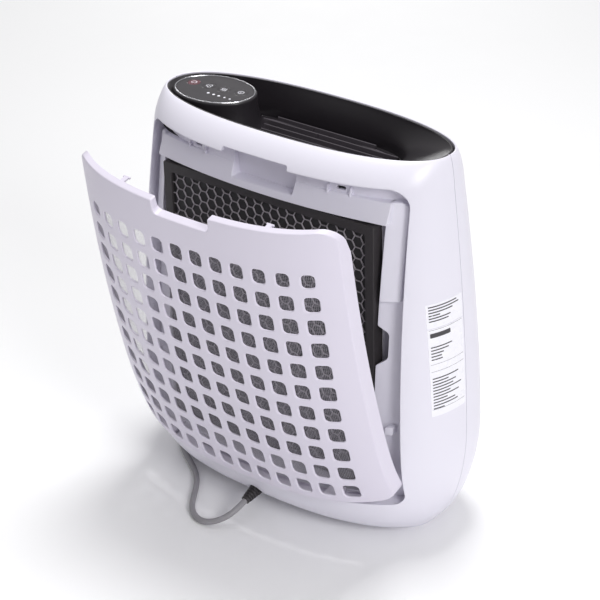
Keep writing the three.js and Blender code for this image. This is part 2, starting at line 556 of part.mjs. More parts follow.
// ---- fan ----
function buildFan() {
  const { z, radius, blades, rear, front } = FAN;
  const bladeShape = new THREE.Shape();
  bladeShape.moveTo(radius - 24, -1);
  bladeShape.quadraticCurveTo(radius - 12, 3.5, radius - 1, 10);
  bladeShape.lineTo(radius - 2, 12);
  bladeShape.quadraticCurveTo(radius - 13, 5.5, radius - 24, 1);
  const blade = alongY(bladeShape, front + 1, rear - 1, 1);
  const vanes = steps(0, blades - 1, blades - 1).map((i) => blade.rotate([0, (360 * i) / blades, 0]));
  const plate = drum(radius + 0.5, front, front + 2, 0, 32);
  const shroud = drum(radius + 0.5, rear - 2, rear, 0, 32).subtract(drum(radius - 19, -100, 100, 0, 32));
  const hubProfile = [[4.2, front], [14, front], [12, front + 26], [4.2, front + 26], [4.2, front]];
  const hub = turnedAlongY(hubProfile, 0, 0, 0);
  const wheel = union([...vanes, plate, shroud, hub]).subtract(drum(4.2, -100, 100, 0, 16));
  add('fan_impeller', wheel.translate([0, 0, z]), 'grey');
  add('motor_shaft', drum(3.9, front - 14, front + 32, z, 16), 'steel');
  const nutProfile = [[4.8, 0], [7.5, 0], [6.8, 5], [4.8, 5], [4.8, 0]];
  add('impeller_nut', turnedAlongY(nutProfile, 0, front + 26.4, z, 6), 'brass');

  const scroll = (grow) => {
    const shape = new THREE.Shape();
    const count = 22;
    for (let i = 0; i <= count; i += 1) {
      const turn = i / count;
      const angle = Math.PI * (0.28 - 1.36 * turn);
      const r = SCROLL.tongue + (SCROLL.widest - SCROLL.tongue) * turn + grow;
      shape[i ? 'lineTo' : 'moveTo'](r * Math.cos(angle), z + r * Math.sin(angle));
    }
    shape.lineTo(GRILLE.left - grow, 383);
    shape.lineTo(GRILLE.right - 40 + grow, 383);
    return shape;
  };
  const duct = alongY(scroll(0), SCROLL.front + SCROLL.wall, 60)
    .intersect(caseSolid(WALL + 1 + SCROLL.wall));
  const casing = alongY(scroll(SCROLL.wall), SCROLL.front, SCROLL.rear)
    .intersect(caseSolid(WALL + 1))
    .subtract(duct)
    .subtract(box(-200, 200, -100, 100, 379, 400))
    .subtract(drum(41, -100, 0, z, 40))
    .subtract(box(-200, 200, 48, 100, 0, 500));
  add('fan_scroll', casing, 'white');
  const motor = turnedAlongY([[0, -84], [30, -84], [37, -78], [37, -66], [37, -65.2 + 8], [10, -57.2],
    [10, -55], [4.2, -55], [4.2, -66], [0, -66]], 0, 0, z, 20);
  add('fan_motor', motor, 'steel');
  const arms = [90, 210, 330].map((turn) => box(40, 62, SCROLL.front - 3, SCROLL.front - GAP, -7, 7)
    .rotate([0, turn, 0]));
  const collar = drum(44, SCROLL.front - 3, SCROLL.front - GAP, 0, 20).subtract(drum(38, -100, 100, 0, 20));
  add('motor_bracket', union([collar, ...arms]).translate([0, 0, z]), 'steel');
}

// ---- boards and ioniser ----
function buildElectrics() {
  add('power_board', box(60, 132, -36, 30, 16, 17.6), 'board');
  add('transformer', box(70, 96, -20, 6, 18, 38), 'black');
  add('mains_capacitor', turned([[0, 0], [7, 0], [7, 22], [0, 22]], 116, 8, 18, 16), 'steel');
  add('ioniser', box(-60, -24, -60, -49.5, 352, 374), 'black');
}

// ---- rear panel and pre-filter, which swing together ----
function buildPanel() {
  const swing = new THREE.Group();
  swing.position.set(0, PIVOT.y, PIVOT.z);
  swing.rotation.x = -THREE.MathUtils.degToRad(OPEN_ANGLE);
  const closed = new THREE.Group();
  closed.position.set(0, -PIVOT.y, -PIVOT.z);
  swing.add(closed);
  part.add(swing);

  const { columns, rows, pitchX, pitchZ, topZ, wide, tall } = HOLES;
  const edges = (centres, size) => centres.flatMap((at) => [at - size / 2, at + size / 2]);
  const across = edges(steps(0, columns - 1, columns - 1).map((c) => (c - (columns - 1) / 2) * pitchX), wide);
  const upward = edges(steps(rows - 1, 0, rows - 1).map((r) => topZ - r * pitchZ), tall);
  const xs = [-181, -164, ...across, 164, 181];
  const zs = [OPENING.low - 6, ...upward, 381, OPENING.high + 4];
  const isHole = (i, j) => i % 2 === 0 && j % 2 === 1 && i > 1 && i < xs.length - 3 && j < zs.length - 3;
  const sheet = curvedPlate(xs, zs, (x, z) => rearSkin(x, z) - PANEL_SKIN, rearSkin, isHole);
  const coarse = [steps(-181, 181, 10), [...steps(OPENING.low - 6, 370, 6), 396, OPENING.high + 4]];
  const flangeDepth = (z) => {
    const { deep, shallow, from, to } = PANEL_FLANGE;
    return deep + (shallow - deep) * THREE.MathUtils.clamp((z - from) / (to - from), 0, 1);
  };
  const flangeBand = curvedPlate(...coarse, (x, z) => rearSkin(x, z) - flangeDepth(z),
    (x, z) => rearSkin(x, z) - PANEL_SKIN / 2);
  const flange = panelPrism(0).subtract(panelPrism(2.4)).intersect(flangeBand);
  const lugLow = OPENING.low + LUG.rise;
  const lugs = [-LUG.x, LUG.x].map((x) =>
    box(x - LUG.half, x + LUG.half, LUG.from, LUG.to, lugLow, lugLow + LUG.thick));
  const clips = [-CLIP.x, CLIP.x].map((x) => {
    const { stem, head, low, high, tip, headDeep } = CLIP;
    const root = rearSkin(x, high) - PANEL_SKIN / 2;
    return box(x - stem, x + stem, tip, root, low, high)
      .add(box(x - head, x + head, tip, tip + headDeep, low, high));
  });
  const panel = union([sheet.intersect(panelPrism(0)), flange, ...lugs, ...clips]);
  add('rear_panel', panel, 'white', closed);

  const everyOther = (values) => values.filter((_, i) => i % 2);
  const net = curvedPlate(everyOther(xs), [OPENING.low, ...everyOther(zs)],
    (x, z) => rearSkin(x, z) - PANEL_SKIN - GAP - NET.thick, (x, z) => rearSkin(x, z) - PANEL_SKIN - GAP)
    .intersect(box(-NET.half, NET.half, 0, 200, NET.low, NET.high));
  add('prefilter_mesh', net, 'grey', closed);
}

// ---- rating label ----
function buildLabel() {
  const band = caseSolid(-0.65).subtract(caseSolid(-GAP));
  const side = (z0, z1) => band.intersect(box(-250, -150, 2.2, 48.5, z0, z1));
  add('rating_label', side(261, 287), 'paper');
  add('service_label', side(162, 260), 'paper');
}

// ---- mains cord ----
function tubeAlong(points, diameter, stepLength) {
  const curve = new THREE.CatmullRomCurve3(points.map((p) => new THREE.Vector3(...p)));
  const round = new THREE.Shape();
  for (let i = 0; i < 10; i += 1) {
    const angle = (2 * Math.PI * i) / 10;
    round[i ? 'lineTo' : 'moveTo']((diameter / 2) * Math.cos(angle), (diameter / 2) * Math.sin(angle));
  }
  const count = Math.round(curve.getLength() / stepLength);
  return toSolid(new THREE.ExtrudeGeometry(round, { steps: count, extrudePath: curve, bevelEnabled: false }));
}

function buildCord() {
  const { diameter } = CORD;
  const { length, inside, root, tip } = RELIEF;
  const taper = [[0, -inside], [root, -inside], [root, 2], [tip, length], [0, length]];
  add('strain_relief', alongCord(taper), 'rubber');
  add('power_cord', tubeAlong(CORD_ROUTE, diameter, 15), 'cable');

  const { x, y, inner, outer, height } = COIL;
  const tieWidth = 9;
  const tieReach = outer + 1.2;
  const tieOuter = box(inner - 4, tieReach, -tieWidth / 2, tieWidth / 2, 0, height);
  const tieInner = box(inner - 2.8, tieReach - 1.2, -tieWidth, tieWidth, 1.2, height - 1.2);
  const seat = box(inner - 8, tieReach + 5, -tieWidth / 2 - GAP, tieWidth / 2 + GAP, -1, height + 1)
    .subtract(box(inner - 2.8 + GAP, tieReach - 1.2 - GAP, -20, 20, 1.2 + GAP, height - 1.2 - GAP));
  const ring = turned([[inner, 2], [inner + 2, 0], [outer - 2, 0], [outer, 2], [outer, height - 2],
    [outer - 2, height], [inner + 2, height], [inner, height - 2], [inner, 2]], 0, 0, 0, 26);
  add('cord_coil', ring.subtract(seat.rotate([0, 0, 250])).translate([x, y, 0]), 'cable');
  add('cord_tie', tieOuter.subtract(tieInner).rotate([0, 0, 250]).translate([x, y, 0]), 'black');
  add('power_cord_tail', tubeAlong(TAIL_ROUTE, diameter, 15), 'cable');

  const plugShape = new THREE.Shape();
  const halfWide = PLUG.width / 2;
  plugShape.moveTo(0, -halfWide);
  plugShape.lineTo(PLUG.length * 0.45, -halfWide);
  plugShape.lineTo(PLUG.length * 0.8, -6);
  plugShape.lineTo(PLUG.length, -5);
  plugShape.lineTo(PLUG.length, 5);
  plugShape.lineTo(PLUG.length * 0.8, 6);
  plugShape.lineTo(PLUG.length * 0.45, halfWide);
  plugShape.lineTo(0, halfWide);
  const end = TAIL_ROUTE[TAIL_ROUTE.length - 1];
  const plugX = end[0] - PLUG.length - 3 * GAP;
  const body = alongZ(plugShape, 0.4, 0.4 + PLUG.thick).translate([plugX, PLUG.y, 0]);
  const { pinRadius, spread } = PLUG;
  const alongPlug = (profile, x, side) => turned(profile, 0, 0, 0, 12)
    .rotate([0, 90, 0])
    .translate([x, PLUG.y + side * spread, PLUG.z]);
  const wellProfile = [[0, 0], [pinRadius + GAP, 0], [pinRadius + GAP, 8], [0, 8]];
  const pinProfile = [[0, 0], [pinRadius - 0.5, 0], [pinRadius, 1], [pinRadius, 24], [0, 24]];
  const pinWells = [-1, 1].map((side) => alongPlug(wellProfile, plugX - 2, side));
  add('plug_body', body.subtract(union(pinWells)), 'rubber');
  [-1, 1].forEach((side, i) => add(`plug_pin_${i + 1}`, alongPlug(pinProfile, plugX - 18.7, side), 'brass'));
}

buildCase();
buildTop();
buildRecess();
buildFilters();
buildFan();
buildElectrics();
buildPanel();
buildLabel();
buildCord();

export default part;
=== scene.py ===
import json
import math

import bmesh
import bpy
import numpy as np
from mathutils import Matrix, Vector
from mathutils.geometry import delaunay_2d_cdt
from mathutils.kdtree import KDTree


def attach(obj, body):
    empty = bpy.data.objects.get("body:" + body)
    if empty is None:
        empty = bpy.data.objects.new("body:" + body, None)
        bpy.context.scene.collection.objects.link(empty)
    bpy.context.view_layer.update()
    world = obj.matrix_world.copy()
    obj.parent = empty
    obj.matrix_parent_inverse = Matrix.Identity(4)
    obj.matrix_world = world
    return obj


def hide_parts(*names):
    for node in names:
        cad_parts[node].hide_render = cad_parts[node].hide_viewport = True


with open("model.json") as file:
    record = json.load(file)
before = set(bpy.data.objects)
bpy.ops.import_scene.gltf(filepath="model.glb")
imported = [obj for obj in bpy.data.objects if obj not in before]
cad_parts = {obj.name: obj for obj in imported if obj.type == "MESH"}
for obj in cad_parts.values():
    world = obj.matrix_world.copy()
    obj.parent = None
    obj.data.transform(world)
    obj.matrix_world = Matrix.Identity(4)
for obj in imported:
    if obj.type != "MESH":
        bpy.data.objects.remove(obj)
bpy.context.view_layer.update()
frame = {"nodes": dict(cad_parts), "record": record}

# Air purifier: smooth shells, honeycomb, net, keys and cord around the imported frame.
# Lengths below are millimetres in the frame of the part, and MM turns them into metres.
MM = 0.001

# ---- driving values: the part's own, but for some corner radii and points of the cord ----
HEIGHT = 431
HALF_WIDTH = dict(foot=155.9, widest=205.4, at=123, curl=1.84, top=181.4, lean=1.62)
REAR_DEPTH = dict(foot=19.8, widest=115.9, at=85.6, curl=2.69, top=83.5, lean=2.1)
FRONT_DEPTH = dict(foot=43.4, widest=95.0, at=105, curl=2.03, top=64.8, lean=1.54)
PLAN_POWER = 2.51
FOOT_Z = 3
SHOULDER_Z = 400
SHOULDER_POWER = 1.45
SEAM = 0.3

TRAY = dict(width=177.9, depth=58.9, y=2.7, power=2.32)
RIM = 1.5
TRAY_FLOOR_Z = 392
THROAT = 3
GRILLE = dict(left=-103, first_y=-41.5, pitch=11.5, slats=9, top=396, drop=9, thick=1.8)
POD = dict(x=121, y=2.7, top_z=430, top_width=49.5, top_depth=37, low_width=54, low_depth=44)
DIAL = dict(width=46, depth=33.5)
KEYS = [("power_key", 152.5), ("fan_speed_key", 132), ("ion_key", 112.3), ("timer_key", 92)]
KEY_RADIUS = 7
LAMP_Y = 14.5
LAMPS = [(120.1, 1.6), (112.6, 1.6), (105.6, 1.6), (97.6, 1.2), (90.4, 1.2)]

OPENING = dict(low=58, high=407.5, half_low=176, half_high=167.5, corner_low=12, corner_high=20)
NOTCH = dict(half=43, rise=5)
PANEL = dict(clearance=1.3, top_clearance=3.6, skin=2.2, wall=2.4, notch_half=36.5, notch_drop=15)
FLANGE = dict(deep=16, shallow=8, low=370, high=396)
HOLES = dict(columns=12, rows=11, pitch_x=25.35, pitch_z=27.5, top_z=353, wide=16.4, tall=18.4,
             corner=4.4)
PIVOT = (120, 23)
OPEN_ANGLE = math.radians(16.6)

RECESS = 22
FILTER = dict(half=138.5, low=62, high=367.5, face=70, thick=14, border=11)
LEDGE = dict(half=150, low=369.8, high=391, bow=78.5, sag=12.3)
POCKET = dict(half=40.4, low=377, high=405, back=60.5)
GUIDE = dict(start=145, end=163, low=288, high=391, height=9)
STOP = dict(start=155, end=162, low=139, high=148, height=9)
LATCH_RIBS = (-105, -80, 80, 105)
CLIP = dict(x=93, stem=3, head=4.5, low=394.6, high=396.9)
LUG_X = 112
NET = dict(half=149.5, low=89, high=362.5, pitch=1.7, width=0.36, bulk=0.24)
COMB = dict(across=12.3, wall=0.34)

CORD = dict(diameter=6.6, exit=(-1, 100.6, 27), droop=math.radians(15))
RELIEF = dict(length=20, inside=14, root=7.2, tip=4.8)
CORD_ROUTE = [
    (-1, 110.6, 24.3), (-1, 120.6, 21.6), (-0.2, 130.5, 18.2), (2.8, 140.5, 13.8), (9.2, 149.1, 9.3),
    (18.3, 155.1, 5.9), (29.2, 157.2, 4.1), (40, 154.5, 3.6), (50, 148.2, 3.6), (58.5, 139.5, 3.6),
    (66, 129.3, 3.6), (73.5, 118, 3.6), (82, 106, 3.6), (93, 94, 3.6), (106, 83.5, 3.6),
    (120, 74.5, 3.6), (134, 65.5, 3.6), (147, 56, 3.6), (159, 45, 3.6),
    (169, 32, 3.6), (175.5, 17, 3.6), (178.5, 0, 3.6), (178, -18, 3.6), (173, -36, 3.6),
    (165.5, -53, 3.6), (158, -69.5, 3.6), (150, -85.5, 3.6), (142.5, -100, 3.6),
    (134.5, -113.8, 3.6), (126.5, -126.7, 3.6), (120.4, -136.2, 3.6),
]
TAIL_ROUTE = [
    (23.4, -153.2, 4.6), (13, -145.5, 3.6), (2, -139.5, 3.6), (-10, -136.5, 4), (-23, -135.5, 5.4),
    (-36, -135.5, 7.4),
]
COIL = dict(x=70, y=-134, start=-33.3, turns=6.26, tie=250, inner=26, outer=46.6, height=20.5)
# Radius and height of the coil's strand after so many turns: in, up a layer, out, and out over the top.
COIL_LAY = [
    (0, 43.1, 3.5), (0.62, 43.1, 3.4), (1.0, 36.3, 3.4), (1.62, 36.3, 3.4), (2.0, 29.5, 3.4),
    (2.7, 29.5, 3.4), (3.05, 32.9, 9.2), (3.68, 32.9, 9.2), (4.05, 39.7, 9.2), (4.78, 39.7, 9.2),
    (5.1, 36.3, 15), (5.75, 36.3, 15), (6.03, 39.7, 15.9), (6.2, 43.1, 15), (6.26, 43.3, 14.8),
]
TIE_LIFT = 1.3
PLUG = dict(x=-73.1, y=-135.5, z=7.4, length=36, width=25, thick=14, pin_radius=2, spread=9.3)


# ---- camera, at the photograph's viewing angle ----
def make_camera():
    azimuth, elevation, roll = (math.radians(a) for a in (39.18, 27.80, -1.268))
    distance = 2.12127
    target = Vector((0, 0, 0.215))
    back = Vector((-math.sin(azimuth) * math.cos(elevation), math.cos(azimuth) * math.cos(elevation),
                   math.sin(elevation)))
    right = (-back).cross(Vector((0, 0, 1))).normalized()
    up = right.cross(-back)
    rolled_right = math.cos(roll) * right + math.sin(roll) * up
    rolled_up = -math.sin(roll) * right + math.cos(roll) * up
    data = bpy.data.cameras.new("camera")
    data.lens = 118.56
    data.sensor_width = 36
    data.shift_x = -0.0168
    data.clip_end = 50
    camera = bpy.data.objects.new("camera", data)
    turn = Matrix((rolled_right, rolled_up, back)).transposed()
    camera.matrix_world = Matrix.Translation(target + distance * back) @ turn.to_4x4()
    bpy.context.scene.collection.objects.link(camera)
    bpy.context.scene.camera = camera


make_camera()


# ---- materials ----
def shade(name, colour, roughness, metallic=0.0, mottle=0.03, patch=9.0, grain=0.12, grain_size=0.6,
          coat=0.0, sheen=0.0, waviness=0.0):
    """A moulded, printed or cast surface: its colour drifts a little over patches, its gloss varies,
    and a fine grain of grain_size millimetres raises it."""
    material = bpy.data.materials.new(name)
    material.use_nodes = True
    nodes, links = material.node_tree.nodes, material.node_tree.links
    shader = nodes["Principled BSDF"]
    shader.inputs["Metallic"].default_value = metallic
    shader.inputs["Coat Weight"].default_value = coat
    shader.inputs["Coat Roughness"].default_value = 0.08
    shader.inputs["Sheen Weight"].default_value = sheen
    place = nodes.new("ShaderNodeTexCoord")

    def noise(scale, detail):
        node = nodes.new("ShaderNodeTexNoise")
        node.inputs["Scale"].default_value = scale
        node.inputs["Detail"].default_value = detail
        links.new(place.outputs["Object"], node.inputs["Vector"])
        return node.outputs["Fac"]

    drift = noise(1000 / (patch * 6), 4)
    blend = nodes.new("ShaderNodeMix")
    blend.data_type = "RGBA"
    blend.inputs["A"].default_value = (*[c * (1 - mottle) for c in colour], 1)
    blend.inputs["B"].default_value = (*[min(c * (1 + mottle), 1) for c in colour], 1)
    links.new(drift, blend.inputs["Factor"])
    links.new(blend.outputs["Result"], shader.inputs["Base Color"])
    gloss = nodes.new("ShaderNodeMapRange")
    gloss.inputs["To Min"].default_value = max(roughness - 0.07, 0.02)
    gloss.inputs["To Max"].default_value = roughness + 0.07
    links.new(noise(1000 / patch, 5), gloss.inputs["Value"])
    links.new(gloss.outputs["Result"], shader.inputs["Roughness"])
    bump = nodes.new("ShaderNodeBump")
    bump.inputs["Strength"].default_value = grain
    bump.inputs["Distance"].default_value = 0.05 * MM * max(grain_size, 1)
    links.new(noise(1000 / grain_size, 3), bump.inputs["Height"])
    if waviness:
        flow = nodes.new("ShaderNodeBump")
        flow.inputs["Strength"].default_value = waviness
        flow.inputs["Distance"].default_value = 0.3 * MM
        links.new(noise(1000 / 45, 1), flow.inputs["Height"])
        links.new(flow.outputs["Normal"], bump.inputs["Normal"])
    links.new(bump.outputs["Normal"], shader.inputs["Normal"])
    return material


LOOKS = {
    "case_white": shade("white moulded plastic", (0.79, 0.77, 0.86), 0.33, mottle=0.012, patch=30,
                        grain=0.10, grain_size=0.7, waviness=0.05),
    # The panel is the case's white plastic; its colour is set darker as painted shade, for its face that
    # leans down away from the top light.
    "panel_white": shade("panel plastic with painted shade", (0.73, 0.69, 0.80), 0.42, mottle=0.015, patch=30,
                         grain=0.16, grain_size=0.6, waviness=0.05),
    "tray_dark": shade("dark satin plastic", (0.020, 0.017, 0.021), 0.36, mottle=0.08, patch=12,
                       grain=0.16, grain_size=0.8),
    # The slats are the tray's dark satin plastic, set lighter as a painted highlight for the light their
    # rounded tops catch.
    "grille_painted_highlight": shade("satin slats with painted highlight", (0.085, 0.075, 0.088), 0.3, mottle=0.08, patch=12, grain=0.1,
                          grain_size=0.8),
    "face_black": shade("gloss control film", (0.018, 0.014, 0.020), 0.16, mottle=0.1, patch=10,
                        grain=0.03, grain_size=2, coat=0.4),
    "power_red": shade("red printed key", (0.11, 0.016, 0.03), 0.18, mottle=0.1, patch=4, grain=0.03,
                       coat=0.4),
    "ring_silver": shade("silver ring", (0.72, 0.72, 0.76), 0.16, metallic=1, mottle=0.04, patch=5,
                         grain=0.04, grain_size=0.5),
    "indicator_white": shade("diffusing lamp plastic", (0.85, 0.85, 0.92), 0.3, mottle=0.03, patch=1,
                             grain=0.05),
    "filter_black": shade("matt black frame", (0.030, 0.026, 0.028), 0.55, mottle=0.2, patch=4,
                          grain=0.35, grain_size=0.9),
    "carbon_core": shade("carbon-coated honeycomb", (0.26, 0.24, 0.26), 0.75, mottle=0.3, patch=3,
                         grain=0.5, grain_size=0.5),
    "carbon_grains": shade("carbon grains", (0.012, 0.011, 0.012), 0.6, mottle=0.5, patch=1.2,
                           grain=1.0, grain_size=1.4),
    "filter_media": shade("pleated filter paper", (0.75, 0.74, 0.68), 0.9, mottle=0.06, patch=4,
                          grain=0.6, grain_size=0.4, sheen=0.2),
    "prefilter_net": shade("woven net yarn", (0.36, 0.34, 0.39), 0.7, mottle=0.2, patch=2, grain=0.4,
                           grain_size=0.3),
    "impeller_grey": shade("grey moulded fan", (0.09, 0.09, 0.10), 0.5, mottle=0.08, patch=8,
                           grain=0.2, grain_size=0.8),
    "steel": shade("zinc-plated steel", (0.56, 0.56, 0.58), 0.34, metallic=1, mottle=0.1, patch=3,
                   grain=0.2, grain_size=0.5),
    "brass": shade("nickelled brass", (0.72, 0.66, 0.50), 0.22, metallic=1, mottle=0.06, patch=2,
                   grain=0.08, grain_size=0.4),
    "board_green": shade("circuit board mask", (0.02, 0.10, 0.04), 0.4, mottle=0.2, patch=2, grain=0.2),
    "foot_rubber": shade("foot rubber", (0.035, 0.034, 0.036), 0.8, mottle=0.2, patch=2, grain=0.5,
                         grain_size=0.5),
    "relief_rubber": shade("moulded cord rubber", (0.034, 0.030, 0.032), 0.55, mottle=0.15, patch=3,
                           grain=0.3, grain_size=0.5),
    "cable_grey": shade("cord sheath", (0.30, 0.29, 0.31), 0.45, mottle=0.05, patch=6, grain=0.2,
                        grain_size=0.5),
    "label_film": shade("label film", (0.90, 0.89, 0.95), 0.28, mottle=0.01, patch=10, grain=0.04,
                        grain_size=3),
    "label_ink": shade("grey label ink", (0.05, 0.046, 0.055), 0.4, mottle=0.15, patch=1, grain=0.05),
}


# ---- meshes ----
class Surface:
    """Points and faces collected in millimetres, which become one smooth piece."""

    def __init__(self):
        self.points = []
        self.faces = []

    def add(self, points, faces):
        start = len(self.points)
        self.points += [tuple(p) for p in points]
        self.faces += [tuple(start + i for i in face) for face in faces]

    def strip(self, rings, closed=True):
        """Skins a series of point rings, each with the same number of points."""
        count = len(rings[0])
        around = count if closed else count - 1
        faces = []
        for level in range(len(rings) - 1):
            for i in range(around):
                a, b = level * count + i, level * count + (i + 1) % count
                faces.append((a, b, b + count, a + count))
        self.add([p for ring in rings for p in ring], faces)

    def cap(self, ring):
        centre = np.mean(np.array(ring), axis=0)
        count = len(ring)
        self.add([*ring, centre], [(i, (i + 1) % count, count) for i in range(count)])

    def piece(self, name, body, look, replaced=(), slot=None, move=None, sharp=34, weighted=True):
        mesh = bpy.data.meshes.new(name)
        points = self.points if move is None else [move(p) for p in self.points]
        mesh.from_pydata([(x * MM, y * MM, z * MM) for x, y, z in points], [], self.faces)
        mesh.validate()
        weld(mesh)
        mesh.polygons.foreach_set("use_smooth", [True] * len(mesh.polygons))
        mesh.set_sharp_from_angle(angle=math.radians(sharp))
        mesh.materials.append(LOOKS[look])
        piece = bpy.data.objects.new(name, mesh)
        bpy.context.scene.collection.objects.link(piece)
        if weighted:
            modifier = piece.modifiers.new("weighted normals", "WEIGHTED_NORMAL")
            modifier.keep_sharp = True
        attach(piece, body)
        if replaced:
            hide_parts(*replaced)
        return piece


def weld(mesh):
    """Joins points that coincide and turns the faces the same way out."""
    work = bmesh.new()
    work.from_mesh(mesh)
    bmesh.ops.remove_doubles(work, verts=work.verts, dist=0.004 * MM)
    bmesh.ops.recalc_face_normals(work, faces=work.faces)
    work.to_mesh(mesh)
    work.free()


# ---- flat outlines ----
def rounded(corners, arc_steps=6):
    """A closed outline through (x, z, radius) corners, each turned by an arc."""
    outline = []
    for i, (x, z, radius) in enumerate(corners):
        corner = Vector((x, z))
        before = (Vector(corners[i - 1][:2]) - corner).normalized()
        after = (Vector(corners[(i + 1) % len(corners)][:2]) - corner).normalized()
        half = before.angle(after) / 2
        centre = corner + (before + after).normalized() * radius / math.sin(half)
        start = corner + before * radius / math.tan(half) - centre
        end = corner + after * radius / math.tan(half) - centre
        turn = start.angle_signed(end)
        for step in range(arc_steps + 1):
            outline.append(centre + Matrix.Rotation(-turn * step / arc_steps, 2) @ start)
    return outline


def densified(outline, step):
    result = []
    for a, b in zip(outline, outline[1:] + outline[:1]):
        parts = max(1, round((b - a).length / step))
        result += [a.lerp(b, i / parts) for i in range(parts)]
    return result


def ellipse(x, y, half_width, half_depth, power=2.0, count=96):
    outline = []
    for i in range(count):
        c, s = math.cos(2 * math.pi * i / count), math.sin(2 * math.pi * i / count)
        outline.append(Vector((x + half_width * math.copysign(abs(c) ** (2 / power), c),
                               y + half_depth * math.copysign(abs(s) ** (2 / power), s))))
    return outline


def grown(outline, distance):
    """The outline, which runs anticlockwise, pushed outwards by a distance."""
    result = []
    for i, point in enumerate(outline):
        a = (point - outline[i - 1]).normalized()
        b = (outline[(i + 1) % len(outline)] - point).normalized()
        na, nb = Vector((a.y, -a.x)), Vector((b.y, -b.x))
        result.append(point + distance * (na + nb) / max(1 + na.dot(nb), 0.2))
    return result


def inside(points, outline):
    """Which of the points lie inside the outline."""
    x, z = points[:, 0], points[:, 1]
    found = np.zeros(len(points), bool)
    for a, b in zip(outline, outline[1:] + outline[:1]):
        if a.y == b.y:
            continue
        crosses = (a.y > z) != (b.y > z)
        found ^= crosses & (x < (b.x - a.x) * (z - a.y) / (b.y - a.y) + a.x)
    return found


def triangles(outer, holes, grid, clear):
    """Flat triangles inside an outline and outside its holes, over the grid's points."""
    loops = [outer, *holes]
    edge_points = [p for loop in loops for p in loop]
    tree = KDTree(len(edge_points))
    for i, p in enumerate(edge_points):
        tree.insert((p.x, p.y, 0), i)
    tree.balance()
    grid = np.array([tuple(p) for p in grid])
    wanted = inside(grid, outer)
    for hole in holes:
        wanted &= ~inside(grid, hole)
    loose = [Vector(p) for p, keep in zip(grid, wanted) if keep and tree.find((p[0], p[1], 0))[2] > clear]
    edges, start = [], 0
    for loop in loops:
        edges += [(start + i, start + (i + 1) % len(loop)) for i in range(len(loop))]
        start += len(loop)
    points, _, faces, *_ = delaunay_2d_cdt(edge_points + loose, edges, [], 0, 1e-5)
    flat = np.array([tuple(p) for p in points])
    centres = np.array([flat[list(face)].mean(0) for face in faces])
    kept = inside(centres, outer)
    for hole in holes:
        low, high = np.min([tuple(p) for p in hole], 0), np.max([tuple(p) for p in hole], 0)
        near = np.all((centres > low) & (centres < high), axis=1)
        kept[near] &= ~inside(centres[near], hole)
    return flat, [face for face, keep in zip(faces, kept) if keep]


def square_grid(x0, x1, z0, z1, step):
    return [(x, z) for x in np.arange(x0, x1, step) for z in np.arange(z0, z1, step)]


def arc_profile(radius, inward, steps=4):
    """(offset, depth) pairs of an edge rounded over, and then the wall down to the depth inward."""
    turns = [math.pi / 2 * i / steps for i in range(steps + 1)]
    return [(radius * (1 - math.sin(a)), radius * (1 - math.cos(a))) for a in turns] + [(0, inward)]


def edge(surface, outline, where, profile, side):
    """Skins a rounded edge: side is 1 round a hole and -1 round an outer edge."""
    surface.strip([[where(p.x, p.y, depth) for p in grown(outline, side * offset)]
                   for offset, depth in profile])


def plate(surface, outline, holes, where, step, radius, inward, hole_inward=None):
    """A sheet inside an outline with rounded edges, and holes with rounded edges."""
    outer = grown(outline, -radius)
    cut = [grown(hole, radius) for hole in holes]
    xs, zs = [p.x for p in outline], [p.y for p in outline]
    grid = square_grid(min(xs), max(xs), min(zs), max(zs), step)
    flat, faces = triangles(outer, cut, grid, step * 0.45)
    surface.add([where(x, z, 0) for x, z in flat], faces)
    if inward is not None:
        edge(surface, outline, where, arc_profile(radius, inward), -1)
    for hole in holes:
        edge(surface, hole, where, arc_profile(radius, hole_inward), 1)


# ---- the case's shape ----
def swell(z, shape):
    if z < shape["at"]:
        low = 1 - ((shape["at"] - z) / shape["at"]) ** shape["curl"]
        return shape["foot"] + (shape["widest"] - shape["foot"]) * low ** (1 / shape["curl"])
    rise = ((z - shape["at"]) / (HEIGHT - shape["at"])) ** shape["lean"]
    return shape["widest"] + (shape["top"] - shape["widest"]) * rise


def section(z):
    """Half-width, rear depth, front depth and corner power of the case at a height."""
    level = min(max(z, FOOT_Z), SHOULDER_Z)
    climb = min(max((z - SHOULDER_Z) / (HEIGHT - SHOULDER_Z), 0), 1)
    keep = max(1 - climb ** SHOULDER_POWER, 0) ** (1 / SHOULDER_POWER)

    def blend(wide, narrow):
        return narrow + (wide - narrow) * keep

    return (blend(swell(level, HALF_WIDTH), TRAY["width"] + RIM),
            blend(swell(level, REAR_DEPTH), TRAY["depth"] + TRAY["y"] + RIM),
            blend(swell(level, FRONT_DEPTH), TRAY["depth"] - TRAY["y"] + RIM),
            TRAY["power"] + (PLAN_POWER - TRAY["power"]) * keep)


def rear_skin(x, z):
    side, rear, _, power = section(z)
    return rear * max(1 - abs(x / side) ** power, 0) ** (1 / power)


def on_rear(x, z, depth):
    return (x, rear_skin(x, z) - depth, z)


def round_case(turn, z, inset=0):
    """The point of the case's skin at a turn from +X and a height."""
    side, rear, front, power = section(z)
    c, s = math.cos(turn), math.sin(turn)
    depth = rear if s > 0 else front
    return ((side - inset) * math.copysign(abs(c) ** (2 / power), c),
            (depth - inset) * math.copysign(abs(s) ** (2 / power), s), z)


SHOULDER_LEVELS = [SHOULDER_Z + (HEIGHT - SHOULDER_Z) * math.sin(math.pi / 2 * i / 14) for i in range(15)]
LEVELS = [*np.linspace(0.8, FOOT_Z, 2), *(FOOT_Z + 6 * (i / 4) ** 1.3 for i in range(1, 5)),
          *np.linspace(12, 60, 11), *np.linspace(67, 393, 46), *SHOULDER_LEVELS]
RISE = np.concatenate([[0], np.cumsum([math.dist(round_case(math.pi / 2, a), round_case(math.pi / 2, b))
                                       for a, b in zip(LEVELS, LEVELS[1:])])])
AROUND = 96
ROUND_SCALE = 150


